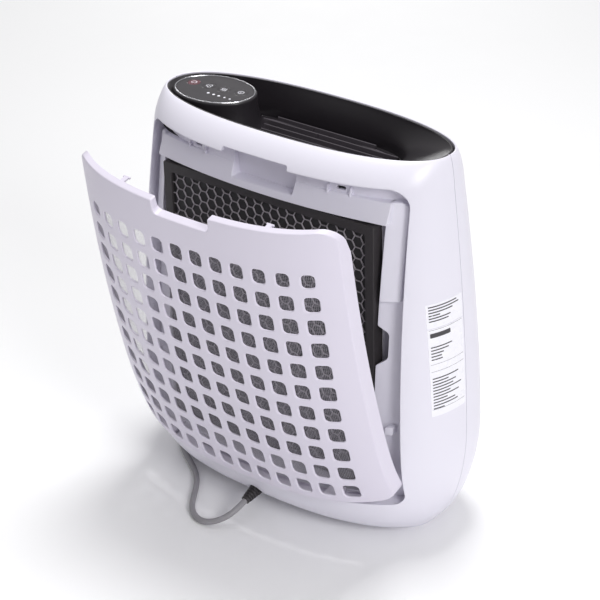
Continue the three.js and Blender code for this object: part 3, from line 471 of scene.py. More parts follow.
def opening_outline(grow=0):
    low, high = OPENING["low"], OPENING["high"]
    outline = rounded([
        (-OPENING["half_low"], low, OPENING["corner_low"]), (OPENING["half_low"], low, OPENING["corner_low"]),
        (OPENING["half_high"], high, OPENING["corner_high"]), (NOTCH["half"], high, 1.6),
        (NOTCH["half"] - 1.5, high + NOTCH["rise"], 2.4), (1.5 - NOTCH["half"], high + NOTCH["rise"], 2.4),
        (-NOTCH["half"], high, 1.6), (-OPENING["half_high"], high, OPENING["corner_high"]),
    ])
    return grown(densified(outline, 5), grow)


def seam_clear(point, side):
    """Keeps a half of the case off the parting plane."""
    x, y, z = point
    return (x, side * max(abs(y), SEAM), z)


def close_case_edges(surface, turns, side):
    """The rim round the tray, the turned-in foot and the seam's faces of one half of the case."""
    def ring(level, inset, drop=0):
        return [seam_clear((x, y, z - drop), side) for x, y, z in
                (round_case(t, level, inset) for t in turns)]
    surface.strip([ring(HEIGHT, 0), ring(HEIGHT, 0.4, 0.1), ring(HEIGHT, 0.9, 0.5), ring(HEIGHT, 1.1, 1.2),
                   ring(HEIGHT, 1.1, 9)], closed=False)
    surface.strip([ring(LEVELS[0], 0), ring(LEVELS[0], 0.25, 0.5), ring(LEVELS[0], 0.8, 0.8),
                   ring(LEVELS[0], 8, 0.8), ring(LEVELS[0], 8, -2.2)], closed=False)
    for turn in (turns[0], turns[-1]):
        surface.strip([[seam_clear(round_case(turn, z, inset), side) for z in LEVELS]
                       for inset in (0, 2.4)], closed=False)


def rear_shell():
    surface = Surface()
    lip = 1.3

    def to_round(x, z):
        side, _, _, power = section(z)
        turn = math.acos(max(-1, min(1, math.copysign(abs(x / side) ** (power / 2), x))))
        return Vector((turn * ROUND_SCALE, np.interp(z, LEVELS, RISE)))

    turns = [math.pi * i / AROUND for i in range(AROUND + 1)]
    wide = ROUND_SCALE * math.pi
    top = RISE[-1]
    outer = [Vector((t * ROUND_SCALE, 0)) for t in turns[:-1]]
    outer += [Vector((wide, r)) for r in RISE[:-1]]
    outer += [Vector((t * ROUND_SCALE, top)) for t in reversed(turns[1:])]
    outer += [Vector((0, r)) for r in reversed(RISE[1:])]
    hole = [to_round(p.x, p.y) for p in grown(opening_outline(), lip)]
    hole.reverse()
    exit_x, _, exit_z = CORD["exit"]
    sleeve_hole = ellipse(exit_x, exit_z, RELIEF["root"] + 0.4, 0.88 * RELIEF["root"] + 0.4, count=28)
    cord_hole = [to_round(p.x, p.y) for p in sleeve_hole]
    cord_hole.reverse()
    grid = [(t * ROUND_SCALE, r) for t in turns[1:-1] for r in RISE[1:-1]]
    flat, faces = triangles(outer, [hole, cord_hole], grid, 1.2)
    points = [seam_clear(round_case(u / ROUND_SCALE, float(np.interp(r, RISE, LEVELS))), 1) for u, r in flat]
    surface.add(points, faces)
    edge(surface, opening_outline(), on_rear, arc_profile(lip, RECESS + 0.5), 1)
    surface.strip([[on_rear(p.x, p.y, depth) for p in sleeve_hole] for depth in (0, 4)])
    close_case_edges(surface, turns, 1)
    surface.piece("rear_shell", "case", "case_white", ["rear_housing"])


def front_shell():
    surface = Surface()
    turns = [math.pi * (1 + i / AROUND) for i in range(AROUND + 1)]
    surface.strip([[seam_clear(round_case(t, z), -1) for t in turns] for z in LEVELS], closed=False)
    close_case_edges(surface, turns, -1)
    surface.piece("front_shell", "case", "case_white", ["front_cover"])


# ---- tray, grille and control pod ----
def tray_ring(t, grow, z, count=144):
    left = TRAY["width"] - 2.5 - (TRAY["width"] + GRILLE["left"] - 9) * t + grow
    right = TRAY["width"] - 2.5 - 42 * t + grow
    depth = TRAY["depth"] - 2.5 - 7 * t + grow
    power = TRAY["power"] + 1.1 * t
    ring = []
    for i in range(count):
        c, s = math.cos(2 * math.pi * i / count), math.sin(2 * math.pi * i / count)
        ring.append(((right if c > 0 else left) * math.copysign(abs(c) ** (2 / power), c),
                     TRAY["y"] + depth * math.copysign(abs(s) ** (2 / power), s), z))
    return ring


def smooth_curve(knots, steps):
    """Points along a smooth curve through (z, t) knots."""
    result = []
    padded = [knots[0], *knots, knots[-1]]
    for i in range(1, len(padded) - 2):
        p0, p1, p2, p3 = (np.array(padded[i + k], float) for k in (-1, 0, 1, 2))
        for s in range(steps):
            u = s / steps
            result.append(0.5 * (2 * p1 + (p2 - p0) * u + (2 * p0 - 5 * p1 + 4 * p2 - p3) * u * u
                                 + (3 * p1 - p0 - 3 * p2 + p3) * u ** 3))
    return [tuple(p) for p in result] + [tuple(knots[-1])]


def pod_ring(z, grow=0, count=96):
    t = (POD["top_z"] - z) / (POD["top_z"] - TRAY_FLOOR_Z)
    width = POD["top_width"] + (POD["low_width"] - POD["top_width"]) * t * t + grow
    depth = POD["top_depth"] + (POD["low_depth"] - POD["top_depth"]) * t * t + grow
    return [(p.x, p.y, z) for p in ellipse(POD["x"], POD["y"], width, depth, count=count)]


def outlet_tray():
    surface = Surface()
    top = HEIGHT - 1

    def rim_ring(grow, z):
        outline = ellipse(0, TRAY["y"], TRAY["width"] + grow, TRAY["depth"] + grow, TRAY["power"], 144)
        return [(p.x, p.y, z) for p in outline]

    bowl = [(z, t) for z, t in smooth_curve([(top, 0.0), (427.6, 0.08), (422, 0.33), (415, 0.62), (409, 0.82),
                                             (404, 0.93), (400, 0.972), (TRAY_FLOOR_Z, 1.0)], 4)]
    rings = [rim_ring(-0.3, top - 8), rim_ring(-0.3, top - 0.8), rim_ring(-0.6, top - 0.2),
             rim_ring(-1.2, top)]
    rings += [tray_ring(t, 0, z) for z, t in bowl]
    rings += [tray_ring(1, -0.5, TRAY_FLOOR_Z - 0.5), tray_ring(1, -THROAT, TRAY_FLOOR_Z - 0.5),
              tray_ring(1, -THROAT, TRAY_FLOOR_Z - 6)]
    surface.strip(rings)
    foot = 7
    pod = [(TRAY_FLOOR_Z - 0.5 + foot * (1 - math.sin(a)), foot * (1 - math.cos(a)))
           for a in (math.pi / 2 * i / 5 for i in range(5, 0, -1))]
    walls = [pod_ring(z, grow) for z, grow in pod]
    walls += [pod_ring(z) for z in np.linspace(TRAY_FLOOR_Z + foot, POD["top_z"] - 2, 12)]
    walls += [pod_ring(POD["top_z"] - 1, -0.3), pod_ring(POD["top_z"] - 0.3, -0.8),
              pod_ring(POD["top_z"], -1.6)]
    surface.strip(walls)
    collar = ellipse(POD["x"], POD["y"], DIAL["width"] + 1.9, DIAL["depth"] + 1.9)
    surface.strip([pod_ring(POD["top_z"], -1.6), [(p.x, p.y, POD["top_z"]) for p in collar],
                   [(p.x, p.y, POD["top_z"] - 2.4) for p in collar],
                   [(p.x, p.y, POD["top_z"] - 2.4) for p in grown(collar, -2.4)]])
    surface.piece("tray_shell", "case", "tray_dark", ["outlet_tray"])


def bar(surface, start, end, width, top, bottom, round_steps=4):
    """A rib with a rounded top between two points of the plan."""
    a, b = Vector(start), Vector(end)
    across = Vector((b.y - a.y, a.x - b.x)).normalized() * width / 2
    turns = [math.pi * i / round_steps for i in range(round_steps + 1)]
    crown = [(-math.cos(t), top - width / 2 * (1 - math.sin(t))) for t in turns]
    shape = [(-1, bottom), *crown, (1, bottom)]
    parts = max(2, round((b - a).length / 12))
    rings = []
    for i in range(parts + 1):
        p = a.lerp(b, i / parts)
        rings.append([(p.x + across.x * side, p.y + across.y * side, z) for side, z in shape])
    surface.strip(rings)


def outlet_grille():
    surface = Surface()
    outline = [Vector(p[:2]) for p in tray_ring(1, -THROAT - 0.35, 0)]
    reach_x = [p.x for p in outline]
    reach_y = max(p.y for p in outline) - TRAY["y"]
    left, right = min(reach_x), max(reach_x)
    power = TRAY["power"] + 1.1

    def ends(y):
        spare = max(1 - abs((y - TRAY["y"]) / reach_y) ** power, 0) ** (1 / power)
        pod_depth, pod_width = POD["low_depth"] + 1.5, POD["low_width"] + 1.5
        pod_spare = max(1 - ((y - POD["y"]) / pod_depth) ** 2, 0) ** 0.5
        stop = right * spare
        if pod_spare:
            stop = min(stop, POD["x"] - pod_width * pod_spare)
        return left * spare, stop

    top = GRILLE["top"]
    for i in range(GRILLE["slats"]):
        y = GRILLE["first_y"] + i * GRILLE["pitch"]
        x0, x1 = ends(y)
        bar(surface, (x0, y), (x1, y), GRILLE["thick"], top, top - GRILLE["drop"])
    for x in np.linspace(GRILLE["left"] + 22, 58, 8):
        bar(surface, (x, -reach_y + TRAY["y"] + 1.5), (x, reach_y + TRAY["y"] - 1.5), 1.5, top - 6, top - 11)
    border = [(0, 12), (0, 5), (-0.5, 4.5), (-2, 4.5), (-2.5, 5), (-2.5, 12)]
    surface.strip([[(p.x, p.y, top - below) for p in grown(outline, grow)] for grow, below in border])
    surface.piece("grille_slats", "case", "grille_painted_highlight", ["outlet_grille"], slot="tray_dark")


def key_y(x):
    return POD["y"] - 3.6 - ((x - 130) / 38) ** 2 * (5 if x < 130 else -3)


def on_dial(z):
    return lambda x, y, depth: (x, y, z - depth)


def stroke(surface, points, width, z, closed=False):
    """A printed line of a given width through flat points."""
    points = [Vector(p) for p in points]
    count = len(points)
    left, right = [], []
    for i, p in enumerate(points):
        before = points[i - 1] if i or closed else p
        after = points[(i + 1) % count] if i + 1 < count or closed else p
        along = (after - before).normalized()
        across = Vector((-along.y, along.x)) * width / 2
        left.append((*(p + across), z))
        right.append((*(p - across), z))
    surface.strip([left, right], closed=closed)


def arc_points(x, y, radius, start, end, steps=20):
    turns = [math.radians(start + (end - start) * i / steps) for i in range(steps + 1)]
    return [(x + radius * math.cos(a), y + radius * math.sin(a)) for a in turns]


def print_icons():
    """Generic symbols on the keys: power, fan blades, rising air and a clock. They face the front."""
    surface = Surface()
    z = POD["top_z"] + 0.06
    line = 0.7
    x, y = KEYS[0][1], key_y(KEYS[0][1])
    stroke(surface, arc_points(x, y, 3, 125, 415), line, z)
    stroke(surface, [(x, y + 0.6), (x, y + 4)], line, z)
    x, y = KEYS[1][1], key_y(KEYS[1][1])
    for blade in range(3):
        turn = 120 * blade
        centre = (x + 2 * math.cos(math.radians(turn)), y + 2 * math.sin(math.radians(turn)))
        stroke(surface, arc_points(*centre, 1.7, turn - 150, turn + 110), line, z)
    x, y = KEYS[2][1], key_y(KEYS[2][1])
    for shift in (-2.4, 0, 2.4):
        wave = [(x + shift + 0.7 * math.sin(k / 12 * 2 * math.pi), y - 3.2 + 6.4 * k / 12) for k in range(13)]
        stroke(surface, wave, line, z)
    x, y = KEYS[3][1], key_y(KEYS[3][1])
    stroke(surface, arc_points(x, y, 3.2, 0, 360), line, z)
    stroke(surface, [(x, y + 2.2), (x, y), (x + 1.6, y - 0.8)], line, z)
    surface.piece("key_icons", "case", "indicator_white", weighted=False)


def control_pod():
    z = POD["top_z"]
    ring = Surface()
    turns = [math.pi * i / 8 for i in range(9)]
    inner, outer = 0.35, 1.75
    middle, half = (inner + outer) / 2, (outer - inner) / 2
    shape = [(middle - half * math.cos(a), z + 0.6 * math.sin(a)) for a in turns]
    rings = []
    for offset, level in [(inner, z - 1.5), *shape, (outer, z - 1.5)]:
        outline = ellipse(POD["x"], POD["y"], DIAL["width"] + offset, DIAL["depth"] + offset, count=128)
        rings.append([(p.x, p.y, level) for p in outline])
    ring.strip(rings)
    ring.piece("dial_ring", "case", "ring_silver", ["control_ring"])

    face = Surface()
    outline = ellipse(POD["x"], POD["y"], DIAL["width"], DIAL["depth"], count=128)
    wells = [ellipse(x, key_y(x), KEY_RADIUS + 0.3, KEY_RADIUS + 0.3, count=40) for _, x in KEYS]
    wells += [ellipse(x, LAMP_Y, r + 0.2, r + 0.2, count=20) for x, r in LAMPS]
    plate(face, outline, wells, on_dial(z), 4, 0.25, 1.6, 1.4)
    face.piece("dial_face", "case", "face_black", ["control_face"])

    for name, x in KEYS:
        key = Surface()
        cap = ellipse(x, key_y(x), KEY_RADIUS, KEY_RADIUS, count=40)
        plate(key, cap, [], on_dial(z), 3, 0.25, 1.3)
        look = "power_red" if name == "power_key" else "face_black"
        slot = "power_red" if name == "power_key" else "tray_dark"
        key.piece(name + "_cap_top", name + "_cap", look, [name], slot=slot)
    for i, (x, radius) in enumerate(LAMPS):
        lamp = Surface()
        plate(lamp, ellipse(x, LAMP_Y, radius, radius, count=20), [], on_dial(z), 1, 0.2, 1.2)
        lamp.piece(f"lamp_{i + 1}", "case", "indicator_white", [f"indicator_{i + 1}"])


# ---- recess behind the panel ----
def recess_floor(x, z, depth=0):
    side, rear, _, power = section(z)
    reach = side - 12
    return (x, (rear - RECESS) * max(1 - abs(x / reach) ** power, 0) ** (1 / power) - depth, z)


def rectangle(x0, x1, z0, z1, radius=1.0, step=6):
    corners = [(x0, z0, radius), (x1, z0, radius), (x1, z1, radius), (x0, z1, radius)]
    return densified(rounded(corners, 4), step)


def pad(surface, outline, where, height, radius, step):
    """A raised pad on a surface, its edges rounded, its walls down to that surface."""
    plate(surface, outline, [], lambda x, z, depth: where(x, z, depth - height), step, radius, height + 1)


def ledge_face(x, z, depth):
    bow = LEDGE["bow"] - LEDGE["sag"] * (x / 140) ** 2
    rise = (z - LEDGE["low"]) / (LEDGE["high"] - LEDGE["low"])
    return (x, bow - 9 * max(rise, 0) - depth, z)


def recess_liner():
    surface = Surface()
    half, low, high = FILTER["half"] + 1.5, FILTER["low"] - 1.5, FILTER["high"] + 1.5
    grip_z, grip_reach = 236, 11
    mouth = rounded([(-half, low, 2), (half, low, 2), (half, high, 2), (-half, high, 2),
                     (-half, grip_z + 22, 3), (-half - grip_reach, grip_z + 14, 7),
                     (-half - grip_reach, grip_z - 14, 7), (-half, grip_z - 22, 3)])
    mouth = densified(mouth, 7)
    pocket = rectangle(-POCKET["half"], POCKET["half"], POCKET["low"] - 4, POCKET["high"] - 1, 2.5)
    slots = [rectangle(x - 5, x + 5, 393.6, 397.2, 0.8) for x in (-CLIP["x"], CLIP["x"])]
    flat, faces = triangles(grown(opening_outline(), -0.1), [grown(mouth, 1), grown(pocket, 0.6),
                            *(grown(s, 0.4) for s in slots)], square_grid(-175, 175, 59, 408, 6), 3)
    surface.add([recess_floor(x, z) for x, z in flat], faces)
    edge(surface, mouth, recess_floor, arc_profile(1, 46), 1)
    edge(surface, pocket, recess_floor, arc_profile(0.6, 8), 1)
    for s in slots:
        edge(surface, s, recess_floor, arc_profile(0.4, 3), 1)

    def pocket_back(x, z, depth):
        return (x, POCKET["back"] - depth, z)

    plate(surface, grown(pocket, 0.5), [], pocket_back, 8, 0.2, None)
    reach, under, over, grip = LEDGE["half"], LEDGE["low"], LEDGE["high"], POCKET["half"]
    ledge = densified(rounded([
        (-reach, under, 2), (reach, under, 2), (reach, over, 2.5), (grip, over, 2),
        (grip - 1, POCKET["low"], 2), (1 - grip, POCKET["low"], 2), (-grip, over, 2), (-reach, over, 2.5),
    ]), 5)
    plate(surface, ledge, [], ledge_face, 6, 1.2, 22)
    for side in (-1, 1):
        start, end, foot, head = GUIDE["start"], GUIDE["end"], GUIDE["low"], GUIDE["high"]
        guide = [(start, foot, 1.2), (end, foot, 1.2), (end, head, 9), (start, head, 1.5)]
        guide = [(side * x, z, r) for x, z, r in guide][::side]
        pad(surface, densified(rounded(guide), 5), recess_floor, GUIDE["height"], 0.9, 5)
        x0, x1 = sorted((side * STOP["start"], side * STOP["end"]))
        stop = rectangle(x0, x1, STOP["low"], STOP["high"], 1.2, 3)
        pad(surface, stop, recess_floor, STOP["height"], 0.8, 4)
    for x in LATCH_RIBS:
        pad(surface, rectangle(x - 0.8, x + 0.8, 389, 398, 0.4, 2), recess_floor, 3.4, 0.35, 3)
        pad(surface, rectangle(x - 2, x + 2, 391.6, 393, 0.4, 2), recess_floor, 3, 0.35, 3)
    surface.piece("recess_liner", "case", "case_white", ["filter_recess"])


# ---- filter ----
def box_piece(surface, x0, x1, y0, y1, z0, z1, radius, hole=None):
    """A block whose front face (towards +Y) has rounded edges, open through its middle if it has a hole."""
    def front(x, z, depth):
        return (x, y1 - depth, z)

    holes = [] if hole is None else [hole]
    outline = rectangle(x0, x1, z0, z1, 2.2, 20)
    plate(surface, outline, holes, front, 20, radius, y1 - y0, y1 - y0)
    flat, faces = triangles(outline, holes, [(x0 + 1, z0 + 1)], 3)
    surface.add([(x, y0, z) for x, z in flat], faces)


def carbon_filter():
    half, low, high, face = FILTER["half"], FILTER["low"], FILTER["high"], FILTER["face"]
    border, thick = FILTER["border"], FILTER["thick"]
    frame_piece = Surface()
    window = rectangle(-half + border, half - border, low + border, high - border, 1.5, 20)
    box_piece(frame_piece, -half, half, face - thick, face, low, high, 0.9, window)
    frame_piece.piece("filter_frame", "carbon_filter", "filter_black", ["carbon_filter_frame"])

    core = Surface()
    across, wall = COMB["across"], COMB["wall"]
    radius = across / math.sqrt(3)
    columns = int(2 * half / (1.5 * radius))
    rows = int((high - low) / across)
    front, back = face - 1.8, face - thick + 0.8
    limit, under, over = half - border + 1, low + border - 1, high - border + 1

    def hexagon(x, z, scale, y):
        ring = []
        for k in range(6):
            px = x + scale * math.cos(math.pi / 3 * k)
            pz = z + scale * math.sin(math.pi / 3 * k)
            ring.append((max(-limit, min(limit, px)), y, max(under, min(over, pz))))
        return ring

    for c in range(columns + 1):
        for r in range(rows + 1):
            x = -half + c * 1.5 * radius
            z = low + (r + 0.5 * (c % 2)) * across
            if abs(x) > limit + radius or not low + border - across < z < high - border + across:
                continue
            core.strip([hexagon(x, z, radius, front), hexagon(x, z, radius - wall, front - 0.05),
                        hexagon(x, z, radius - wall - 0.2, front - 0.4),
                        hexagon(x, z, radius - wall - 0.3, back)])
    core.piece("honeycomb_walls", "carbon_filter", "carbon_core", ["carbon_honeycomb"], weighted=False)
    bed = Surface()
    outline = rectangle(-limit, limit, under, over, 1, 6)
    flat, faces = triangles(outline, [], square_grid(-limit, limit, under, over, 4), 2)
    bed.add([(x, front - 1.5 + 0.4 * math.sin(1.9 * x) * math.cos(2.3 * z), z) for x, z in flat], faces)
    bed.piece("carbon_bed", "carbon_filter", "carbon_grains", slot="carbon_core")


# ---- rear panel, which rides swung open ----
def swung(point):
    x, y, z = point
    dy, dz = y - PIVOT[0], z - PIVOT[1]
    c, s = math.cos(OPEN_ANGLE), math.sin(OPEN_ANGLE)
    return (x, PIVOT[0] + dy * c + dz * s, PIVOT[1] - dy * s + dz * c)


def panel_outline():
    clear, top_clear = PANEL["clearance"], PANEL["top_clearance"]
    low, high = OPENING["low"] + clear, OPENING["high"] - top_clear
    half_low, half_high = OPENING["half_low"] - clear, OPENING["half_high"] - clear
    notch, drop = PANEL["notch_half"], PANEL["notch_drop"]
    return densified(rounded([
        (-half_low, low, 11), (half_low, low, 11), (half_high, high, 18), (notch, high, 1.5),
        (notch - 1, high - drop, 5), (1 - notch, high - drop, 5), (-notch, high, 1.5),
        (-half_high, high, 18),
    ]), 5)


def flange_depth(z):
    share = min(max((z - FLANGE["low"]) / (FLANGE["high"] - FLANGE["low"]), 0), 1)
    return FLANGE["deep"] + (FLANGE["shallow"] - FLANGE["deep"]) * share


def block(surface, x0, x1, y0, y1, z0, z1, bevel=0.35):
    """A small block with bevelled upright edges and ends."""
    outline = rounded([(x0, y0, bevel), (x1, y0, bevel), (x1, y1, bevel), (x0, y1, bevel)], 2)
    end = grown(outline, -bevel)
    rings = [(end, z0), (outline, z0 + bevel), (outline, z1 - bevel), (end, z1)]
    surface.strip([[(p.x, p.y, z) for p in ring] for ring, z in rings])
    for ring, z in (rings[0], rings[-1]):
        surface.cap([(p.x, p.y, z) for p in ring])


def hole_places():
    """Each hole's x and z limits. The upper rows' holes are a little smaller, most of all at the sides."""
    for c in range(HOLES["columns"]):
        for r in range(HOLES["rows"]):
            offset = (c - (HOLES["columns"] - 1) / 2) * HOLES["pitch_x"]
            reach = (abs(offset) / 140) ** 2
            smaller = (1 + 2.4 * reach, 1.4 * reach)[r] if r < 2 else 0
            x = offset - math.copysign(smaller / 2, offset) * reach
            z = HOLES["top_z"] - r * HOLES["pitch_z"] - smaller / 2
            wide, tall = (HOLES["wide"] - smaller) / 2, (HOLES["tall"] - smaller) / 2
            yield x - wide, x + wide, z - tall, z + tall


def rear_panel():
    surface = Surface()
    corner = HOLES["corner"]
    holes = []
    for x0, x1, z0, z1 in hole_places():
        holes.append(rectangle(x0, x1, z0, z1, corner, 4))
    outline = panel_outline()
    rim, lip, skin, wall = 1.3, 1.1, PANEL["skin"], PANEL["wall"]
    flat, faces = triangles(grown(outline, -rim), [grown(h, lip) for h in holes],
                            square_grid(-174, 174, 60, 404, 6.3), 2.2)
    surface.add([on_rear(x, z, 0) for x, z in flat], faces)
    flat, faces = triangles(grown(outline, -wall), [grown(h, 0.4) for h in holes],
                            square_grid(-174, 174, 60, 404, 9), 2.2)
    surface.add([on_rear(x, z, skin) for x, z in flat], faces)
    for hole in holes:
        edge(surface, hole, on_rear, [*arc_profile(lip, skin - 0.4, 5), (0.4, skin)], 1)

    def rim_point(x, z, depth):
        """Depths up to the rim are millimetres. Past it they count in flanges: rim + 1 is the free edge."""
        return on_rear(x, z, depth if depth <= rim else rim + (flange_depth(z) - rim) * (depth - rim))

    profile = [*arc_profile(rim, rim + 0.95, 6), (0.3, rim + 1), (wall - 0.3, rim + 1),
               (wall, rim + 0.95), (wall, skin)]
    edge(surface, outline, rim_point, profile, -1)
    low, high, stem, head = CLIP["low"], CLIP["high"], CLIP["stem"], CLIP["head"]
    for x in (-CLIP["x"], CLIP["x"]):
        block(surface, x - stem, x + stem, 62, rear_skin(x, high) - 1.1, low, high)
        block(surface, x - head, x + head, 60.8, 63, low, high)
    for x in (-LUG_X, LUG_X):
        block(surface, x - 9, x + 9, 82, 100, 61, 64)
    surface.piece("panel_shell", "panel", "panel_white", ["rear_panel"], slot="case_white", move=swung)


def prefilter_net():
    """Crossing yarns of a fine net behind the holes."""
    surface = Surface()
    pitch, width, bulk = NET["pitch"], NET["width"], NET["bulk"]
    low, high, half = NET["low"], NET["high"], NET["half"]
    depth = PANEL["skin"] + 0.6

    def yarn(points, normal_x):
        rings = []
        for x, y, z in points:
            wide = (width / 2, 0) if normal_x else (0, width / 2)
            rings.append([(x - wide[0], y, z - wide[1]), (x, y + bulk / 2, z), (x + wide[0], y, z + wide[1]),
                          (x, y - bulk / 2, z)])
        surface.strip(rings)

    for x in np.arange(-half, half, pitch):
        yarn([on_rear(x, z, depth) for z in np.linspace(low, high, 26)], True)
    for z in np.arange(low, high, pitch):
        yarn([on_rear(x, z, depth) for x in np.linspace(-half, half, 30)], False)
    surface.piece("net_yarns", "panel", "prefilter_net", ["prefilter_mesh"], move=swung, weighted=False)


# ---- labels, without any wording ----
def label_point(turn_y, z, lift):
    side, rear, _, power = section(z)
    x = -(side + lift) * max(1 - abs(turn_y / (rear + lift)) ** power, 0) ** (1 / power)
    return (x, turn_y, z)


def labels():
    def film_face(y, z, depth):
        return label_point(y, z, 0.3 - depth)

    def ink_face(y, z, depth):
        return label_point(y, z, 0.36 - depth)

    ink = Surface()
    for name, low, high in (("rating_label", 261, 287), ("service_label", 162, 260)):
        film = Surface()
        plate(film, rectangle(2.4, 48.3, low, high, 1.2, 4), [], film_face, 4, 0.12, 0.4)
        film.piece(name + "_film", "case", "label_film", [name])
    rows = [(284 - 3.1 * i, (0.86, 0.93, 0.7, 0.3, 0.62, 0.55)[i]) for i in range(6)]
    rows += [(240 - 3.4 * i, (0.62, 0.5, 0.34, 0.28, 0.3)[i % 5]) for i in range(5)]
    shares = (0.8, 0.45, 0.7, 0.6, 0.9, 0.5, 0.8, 0.4, 0.66, 0.75, 0.3)
    rows += [(205 - 3.4 * i, share) for i, share in enumerate(shares)]
    for z, share in rows:
        right = 46 - (46 - 5) * share
        plate(ink, rectangle(right, 46, z - 0.7, z + 0.7, 0.3, 5), [], ink_face, 5, 0.05, None)
    plate(ink, rectangle(22, 46, 250.5, 255.5, 0.8, 4), [], ink_face, 5, 0.05, None)
    for z in (213, 221, 170, 259):
        plate(ink, rectangle(4, 47, z - 0.2, z + 0.2, 0.1, 5), [], ink_face, 5, 0.05, None)
    ink.piece("label_bars", "case", "label_ink", slot="label_film", weighted=False)


# ---- feet and plug ----
def turned_rings(profile, count=40):
    return [[(r * math.cos(2 * math.pi * i / count), r * math.sin(2 * math.pi * i / count), h)
             for i in range(count)] for r, h in profile]


def feet():
    profile = [(0.01, 0.35), (5, 0.3), (7.6, 0.05), (8.6, 0.1), (9, 0.5), (9, 3.1), (11.5, 3.1), (11.5, 4.6)]
    for i, (sx, sy) in enumerate([(-1, -1), (-1, 1), (1, -1), (1, 1)]):
        surface = Surface()
        surface.strip([[(x + sx * 118, y + sy * 27, z) for x, y, z in ring]
                       for ring in turned_rings(profile)])
        surface.piece(f"foot_pad_{i + 1}", "case", "foot_rubber", [f"foot_{i + 1}"])


def plug():
    body = Surface()
    sections = [(0, 0.86), (0.6, 0.95), (2, 1.0), (14, 1.0), (18, 0.96), (24, 0.72), (29, 0.5), (35, 0.42),
                (36, 0.4), (36.2, 0.3)]
    rings = []
    for along, share in sections:
        half_y = PLUG["width"] / 2 * share
        half_z = PLUG["thick"] / 2 * min(1, 0.45 + 0.55 * share)
        ring = ellipse(0, 0, half_y, half_z, 3.2, 48)
        rings.append([(PLUG["x"] + along, PLUG["y"] + p.x, PLUG["z"] + p.y) for p in ring])
    body.strip(rings)
    body.cap(rings[0])
    for groove in range(4):
        x = PLUG["x"] + 27.5 + groove * 2
        share = 0.5 - 0.02 * groove
        half_y, half_z = PLUG["width"] / 2 * share, PLUG["thick"] / 2 * (0.45 + 0.55 * share)
        rings = []
        for shift, grow in ((-0.5, 0), (-0.3, 0.35), (0.3, 0.35), (0.5, 0)):
            ring = ellipse(0, 0, half_y + grow, half_z + grow, 3.2, 48)
            rings.append([(x + shift, PLUG["y"] + p.x, PLUG["z"] + p.y) for p in ring])
        body.strip(rings)
    pieces = [body.piece("plug_shell", "case", "relief_rubber", ["plug_body"])]
    profile = [(0.01, 0), (1.2, 0.1), (1.8, 0.7), (2, 1.6), (2, 24)]
    for i, side in enumerate((-1, 1)):
        pin = Surface()
        pin.strip([[(PLUG["x"] - 18.7 + z, PLUG["y"] + side * PLUG["spread"] + x, PLUG["z"] + y)
                    for x, y, z in ring] for ring in turned_rings(profile, 28)])
        pieces.append(pin.piece(f"pin_{i + 1}", "case", "brass", [f"plug_pin_{i + 1}"]))
    return pieces


# ---- mains cord ----
def relief():
    """The tapered strain relief, with ribs round it and a collar in the case."""
    surface = Surface()
    length, root, tip = RELIEF["length"], RELIEF["root"], RELIEF["tip"]
    profile = [(0.01, -RELIEF["inside"]), (root, -RELIEF["inside"]), (root, 2.5)]
    ribs = 4
    step = (length - 6.5) / ribs
    for i in range(ribs):
        for share, dip in ((0, 1.3), (0.14, 1.3), (0.24, 0.1), (0.34, 0), (0.8, 0), (0.9, 0.1), (1, 1.3)):
            along = 2.8 + (i + share) * step
            profile.append((root + (tip - root) * along / length - dip, along))
    profile += [(tip, length - 3.4), (tip, length - 0.6), (tip - 0.6, length), (3.2, length)]
    tilt = -CORD["droop"]
    x0, y0, z0 = CORD["exit"]
    rings = []
    for ring in turned_rings(profile, 36):
        rings.append([(x0 + x, y0 + along * math.cos(tilt) - z * math.sin(tilt),
                       z0 + along * math.sin(tilt) + z * math.cos(tilt)) for x, z, along in ring])
    surface.strip(rings)
    return surface.piece("relief_sleeve", "case", "relief_rubber", ["strain_relief"])


def coil_point(turns):
    """Where the strand lies after so many turns, clockwise from where it joins the coil."""
    angle = math.radians(COIL["start"] - 360 * turns)
    knots = [k[0] for k in COIL_LAY]
    i = max(0, min(len(knots) - 2, int(np.searchsorted(knots, turns, "right")) - 1))
    share = (turns - knots[i]) / (knots[i + 1] - knots[i])
    ease = share * share * (3 - 2 * share)
    radius = COIL_LAY[i][1] + (COIL_LAY[i + 1][1] - COIL_LAY[i][1]) * ease
    height = COIL_LAY[i][2] + (COIL_LAY[i + 1][2] - COIL_LAY[i][2]) * ease
    off = (math.degrees(angle) - COIL["tie"] + 180) % 360 - 180
    height += TIE_LIFT * math.exp(-((off / 16) ** 2))
    return (COIL["x"] + radius * math.cos(angle), COIL["y"] + radius * math.sin(angle), height)


def mains_cord(with_pieces):
    per_turn = 24
    count = round(COIL["turns"] * per_turn)
    coil = [coil_point(COIL["turns"] * i / count) for i in range(count + 1)]
    route = [CORD["exit"], *CORD_ROUTE, *coil, *TAIL_ROUTE]
    data = bpy.data.curves.new("mains_cord", "CURVE")
    data.dimensions = "3D"
    data.bevel_depth = CORD["diameter"] / 2 * MM
    data.bevel_resolution = 5
    data.resolution_u = 6
    data.use_fill_caps = True
    spline = data.splines.new("BEZIER")
    spline.bezier_points.add(len(route) - 1)
    for point, place in zip(spline.bezier_points, route):
        point.co = [c * MM for c in place]
        point.handle_left_type = point.handle_right_type = "AUTO"
    cord = bpy.data.objects.new("mains_cord", data)
    bpy.context.scene.collection.objects.link(cord)
    data.materials.append(LOOKS["cable_grey"])
    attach(cord, "case")
    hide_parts("power_cord", "cord_coil", "power_cord_tail")


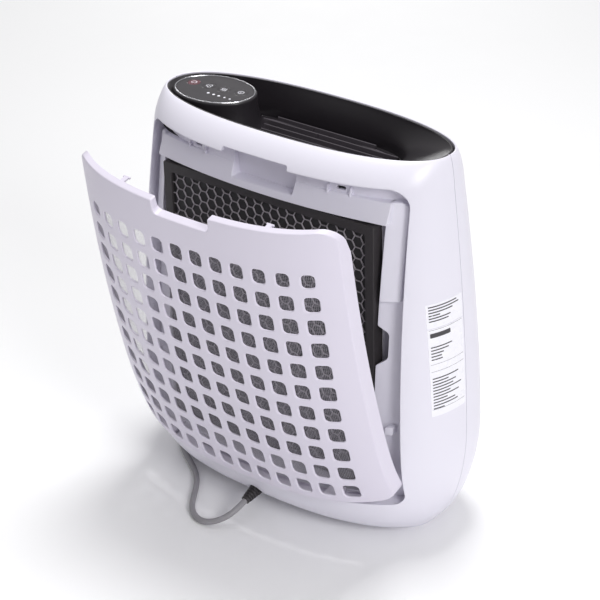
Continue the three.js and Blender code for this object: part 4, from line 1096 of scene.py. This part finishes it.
def cord_tie():
    """A flat strap round the coil, with rounded corners."""
    surface = Surface()
    near, far, roof = COIL["inner"] - 2.9, COIL["outer"], COIL["height"] - 1
    inner = rounded([(near, 1.1, 2.5), (far, 1.1, 2.5), (far, roof, 2.5), (near, roof, 2.5)])
    outer = grown(inner, 1)
    crown = grown(outer, 0.1)
    turn = math.radians(COIL["tie"])
    loops = []
    for outline, across in ((inner, -4.3), (outer, -4.3), (crown, -3.4), (crown, 3.4), (outer, 4.3),
                            (inner, 4.3), (inner, -4.3)):
        loops.append([(COIL["x"] + p.x * math.cos(turn) - across * math.sin(turn),
                       COIL["y"] + p.x * math.sin(turn) + across * math.cos(turn), p.y) for p in outline])
    surface.strip(loops)
    return surface.piece("tie_strap", "case", "relief_rubber", ["cord_tie"], slot="face_black")


mains_cord([relief(), cord_tie(), *plug()])
rear_shell()
front_shell()
outlet_tray()
outlet_grille()
control_pod()
print_icons()
recess_liner()
carbon_filter()
rear_panel()
prefilter_net()
labels()
feet()

# ---- the CAD pieces that stay get their materials ----
for row in frame["record"]["subparts"]:
    node = frame["nodes"][row["node"]]
    node.data.materials.clear()
    node.data.materials.append(LOOKS[row["material_slot"]])


# ---- floor and light ----
def make_floor():
    mesh = bpy.data.meshes.new("floor")
    mesh.from_pydata([(-6, -6, 0), (6, -6, 0), (6, 6, 0), (-6, 6, 0)], [], [(0, 1, 2, 3)])
    floor = bpy.data.objects.new("floor", mesh)
    floor.location.z = -0.0002
    mesh.materials.append(shade("pale floor", (0.97, 0.97, 0.98), 0.8, mottle=0.01, patch=60, grain=0.05))
    bpy.context.scene.collection.objects.link(floor)


def area_light(name, place, aim, size, power, colour=(1, 1, 1)):
    data = bpy.data.lights.new(name, "AREA")
    data.shape = "DISK"
    data.size = size
    data.energy = power
    data.color = colour
    light = bpy.data.objects.new(name, data)
    light.location = place
    light.rotation_euler = (Vector(aim) - Vector(place)).to_track_quat("-Z", "Y").to_euler()
    bpy.context.scene.collection.objects.link(light)


make_floor()
area_light("key", (-2.4, 1.0, 1.6), (0, 0, 0.2), 1.0, 33)
area_light("top", (0.1, -0.3, 2.4), (0, 0, 0.3), 0.8, 32)
area_light("back", (1.9, -2.4, 0.6), (0, 0, 0.35), 1.0, 16)
world = bpy.data.worlds.new("studio")
world.use_nodes = True
world.node_tree.nodes["Background"].inputs["Color"].default_value = (1, 1, 1, 1)
world.node_tree.nodes["Background"].inputs["Strength"].default_value = 0.4
bpy.context.scene.world = world
bpy.context.scene.view_settings.view_transform = "Standard"

bpy.context.view_layer.update()
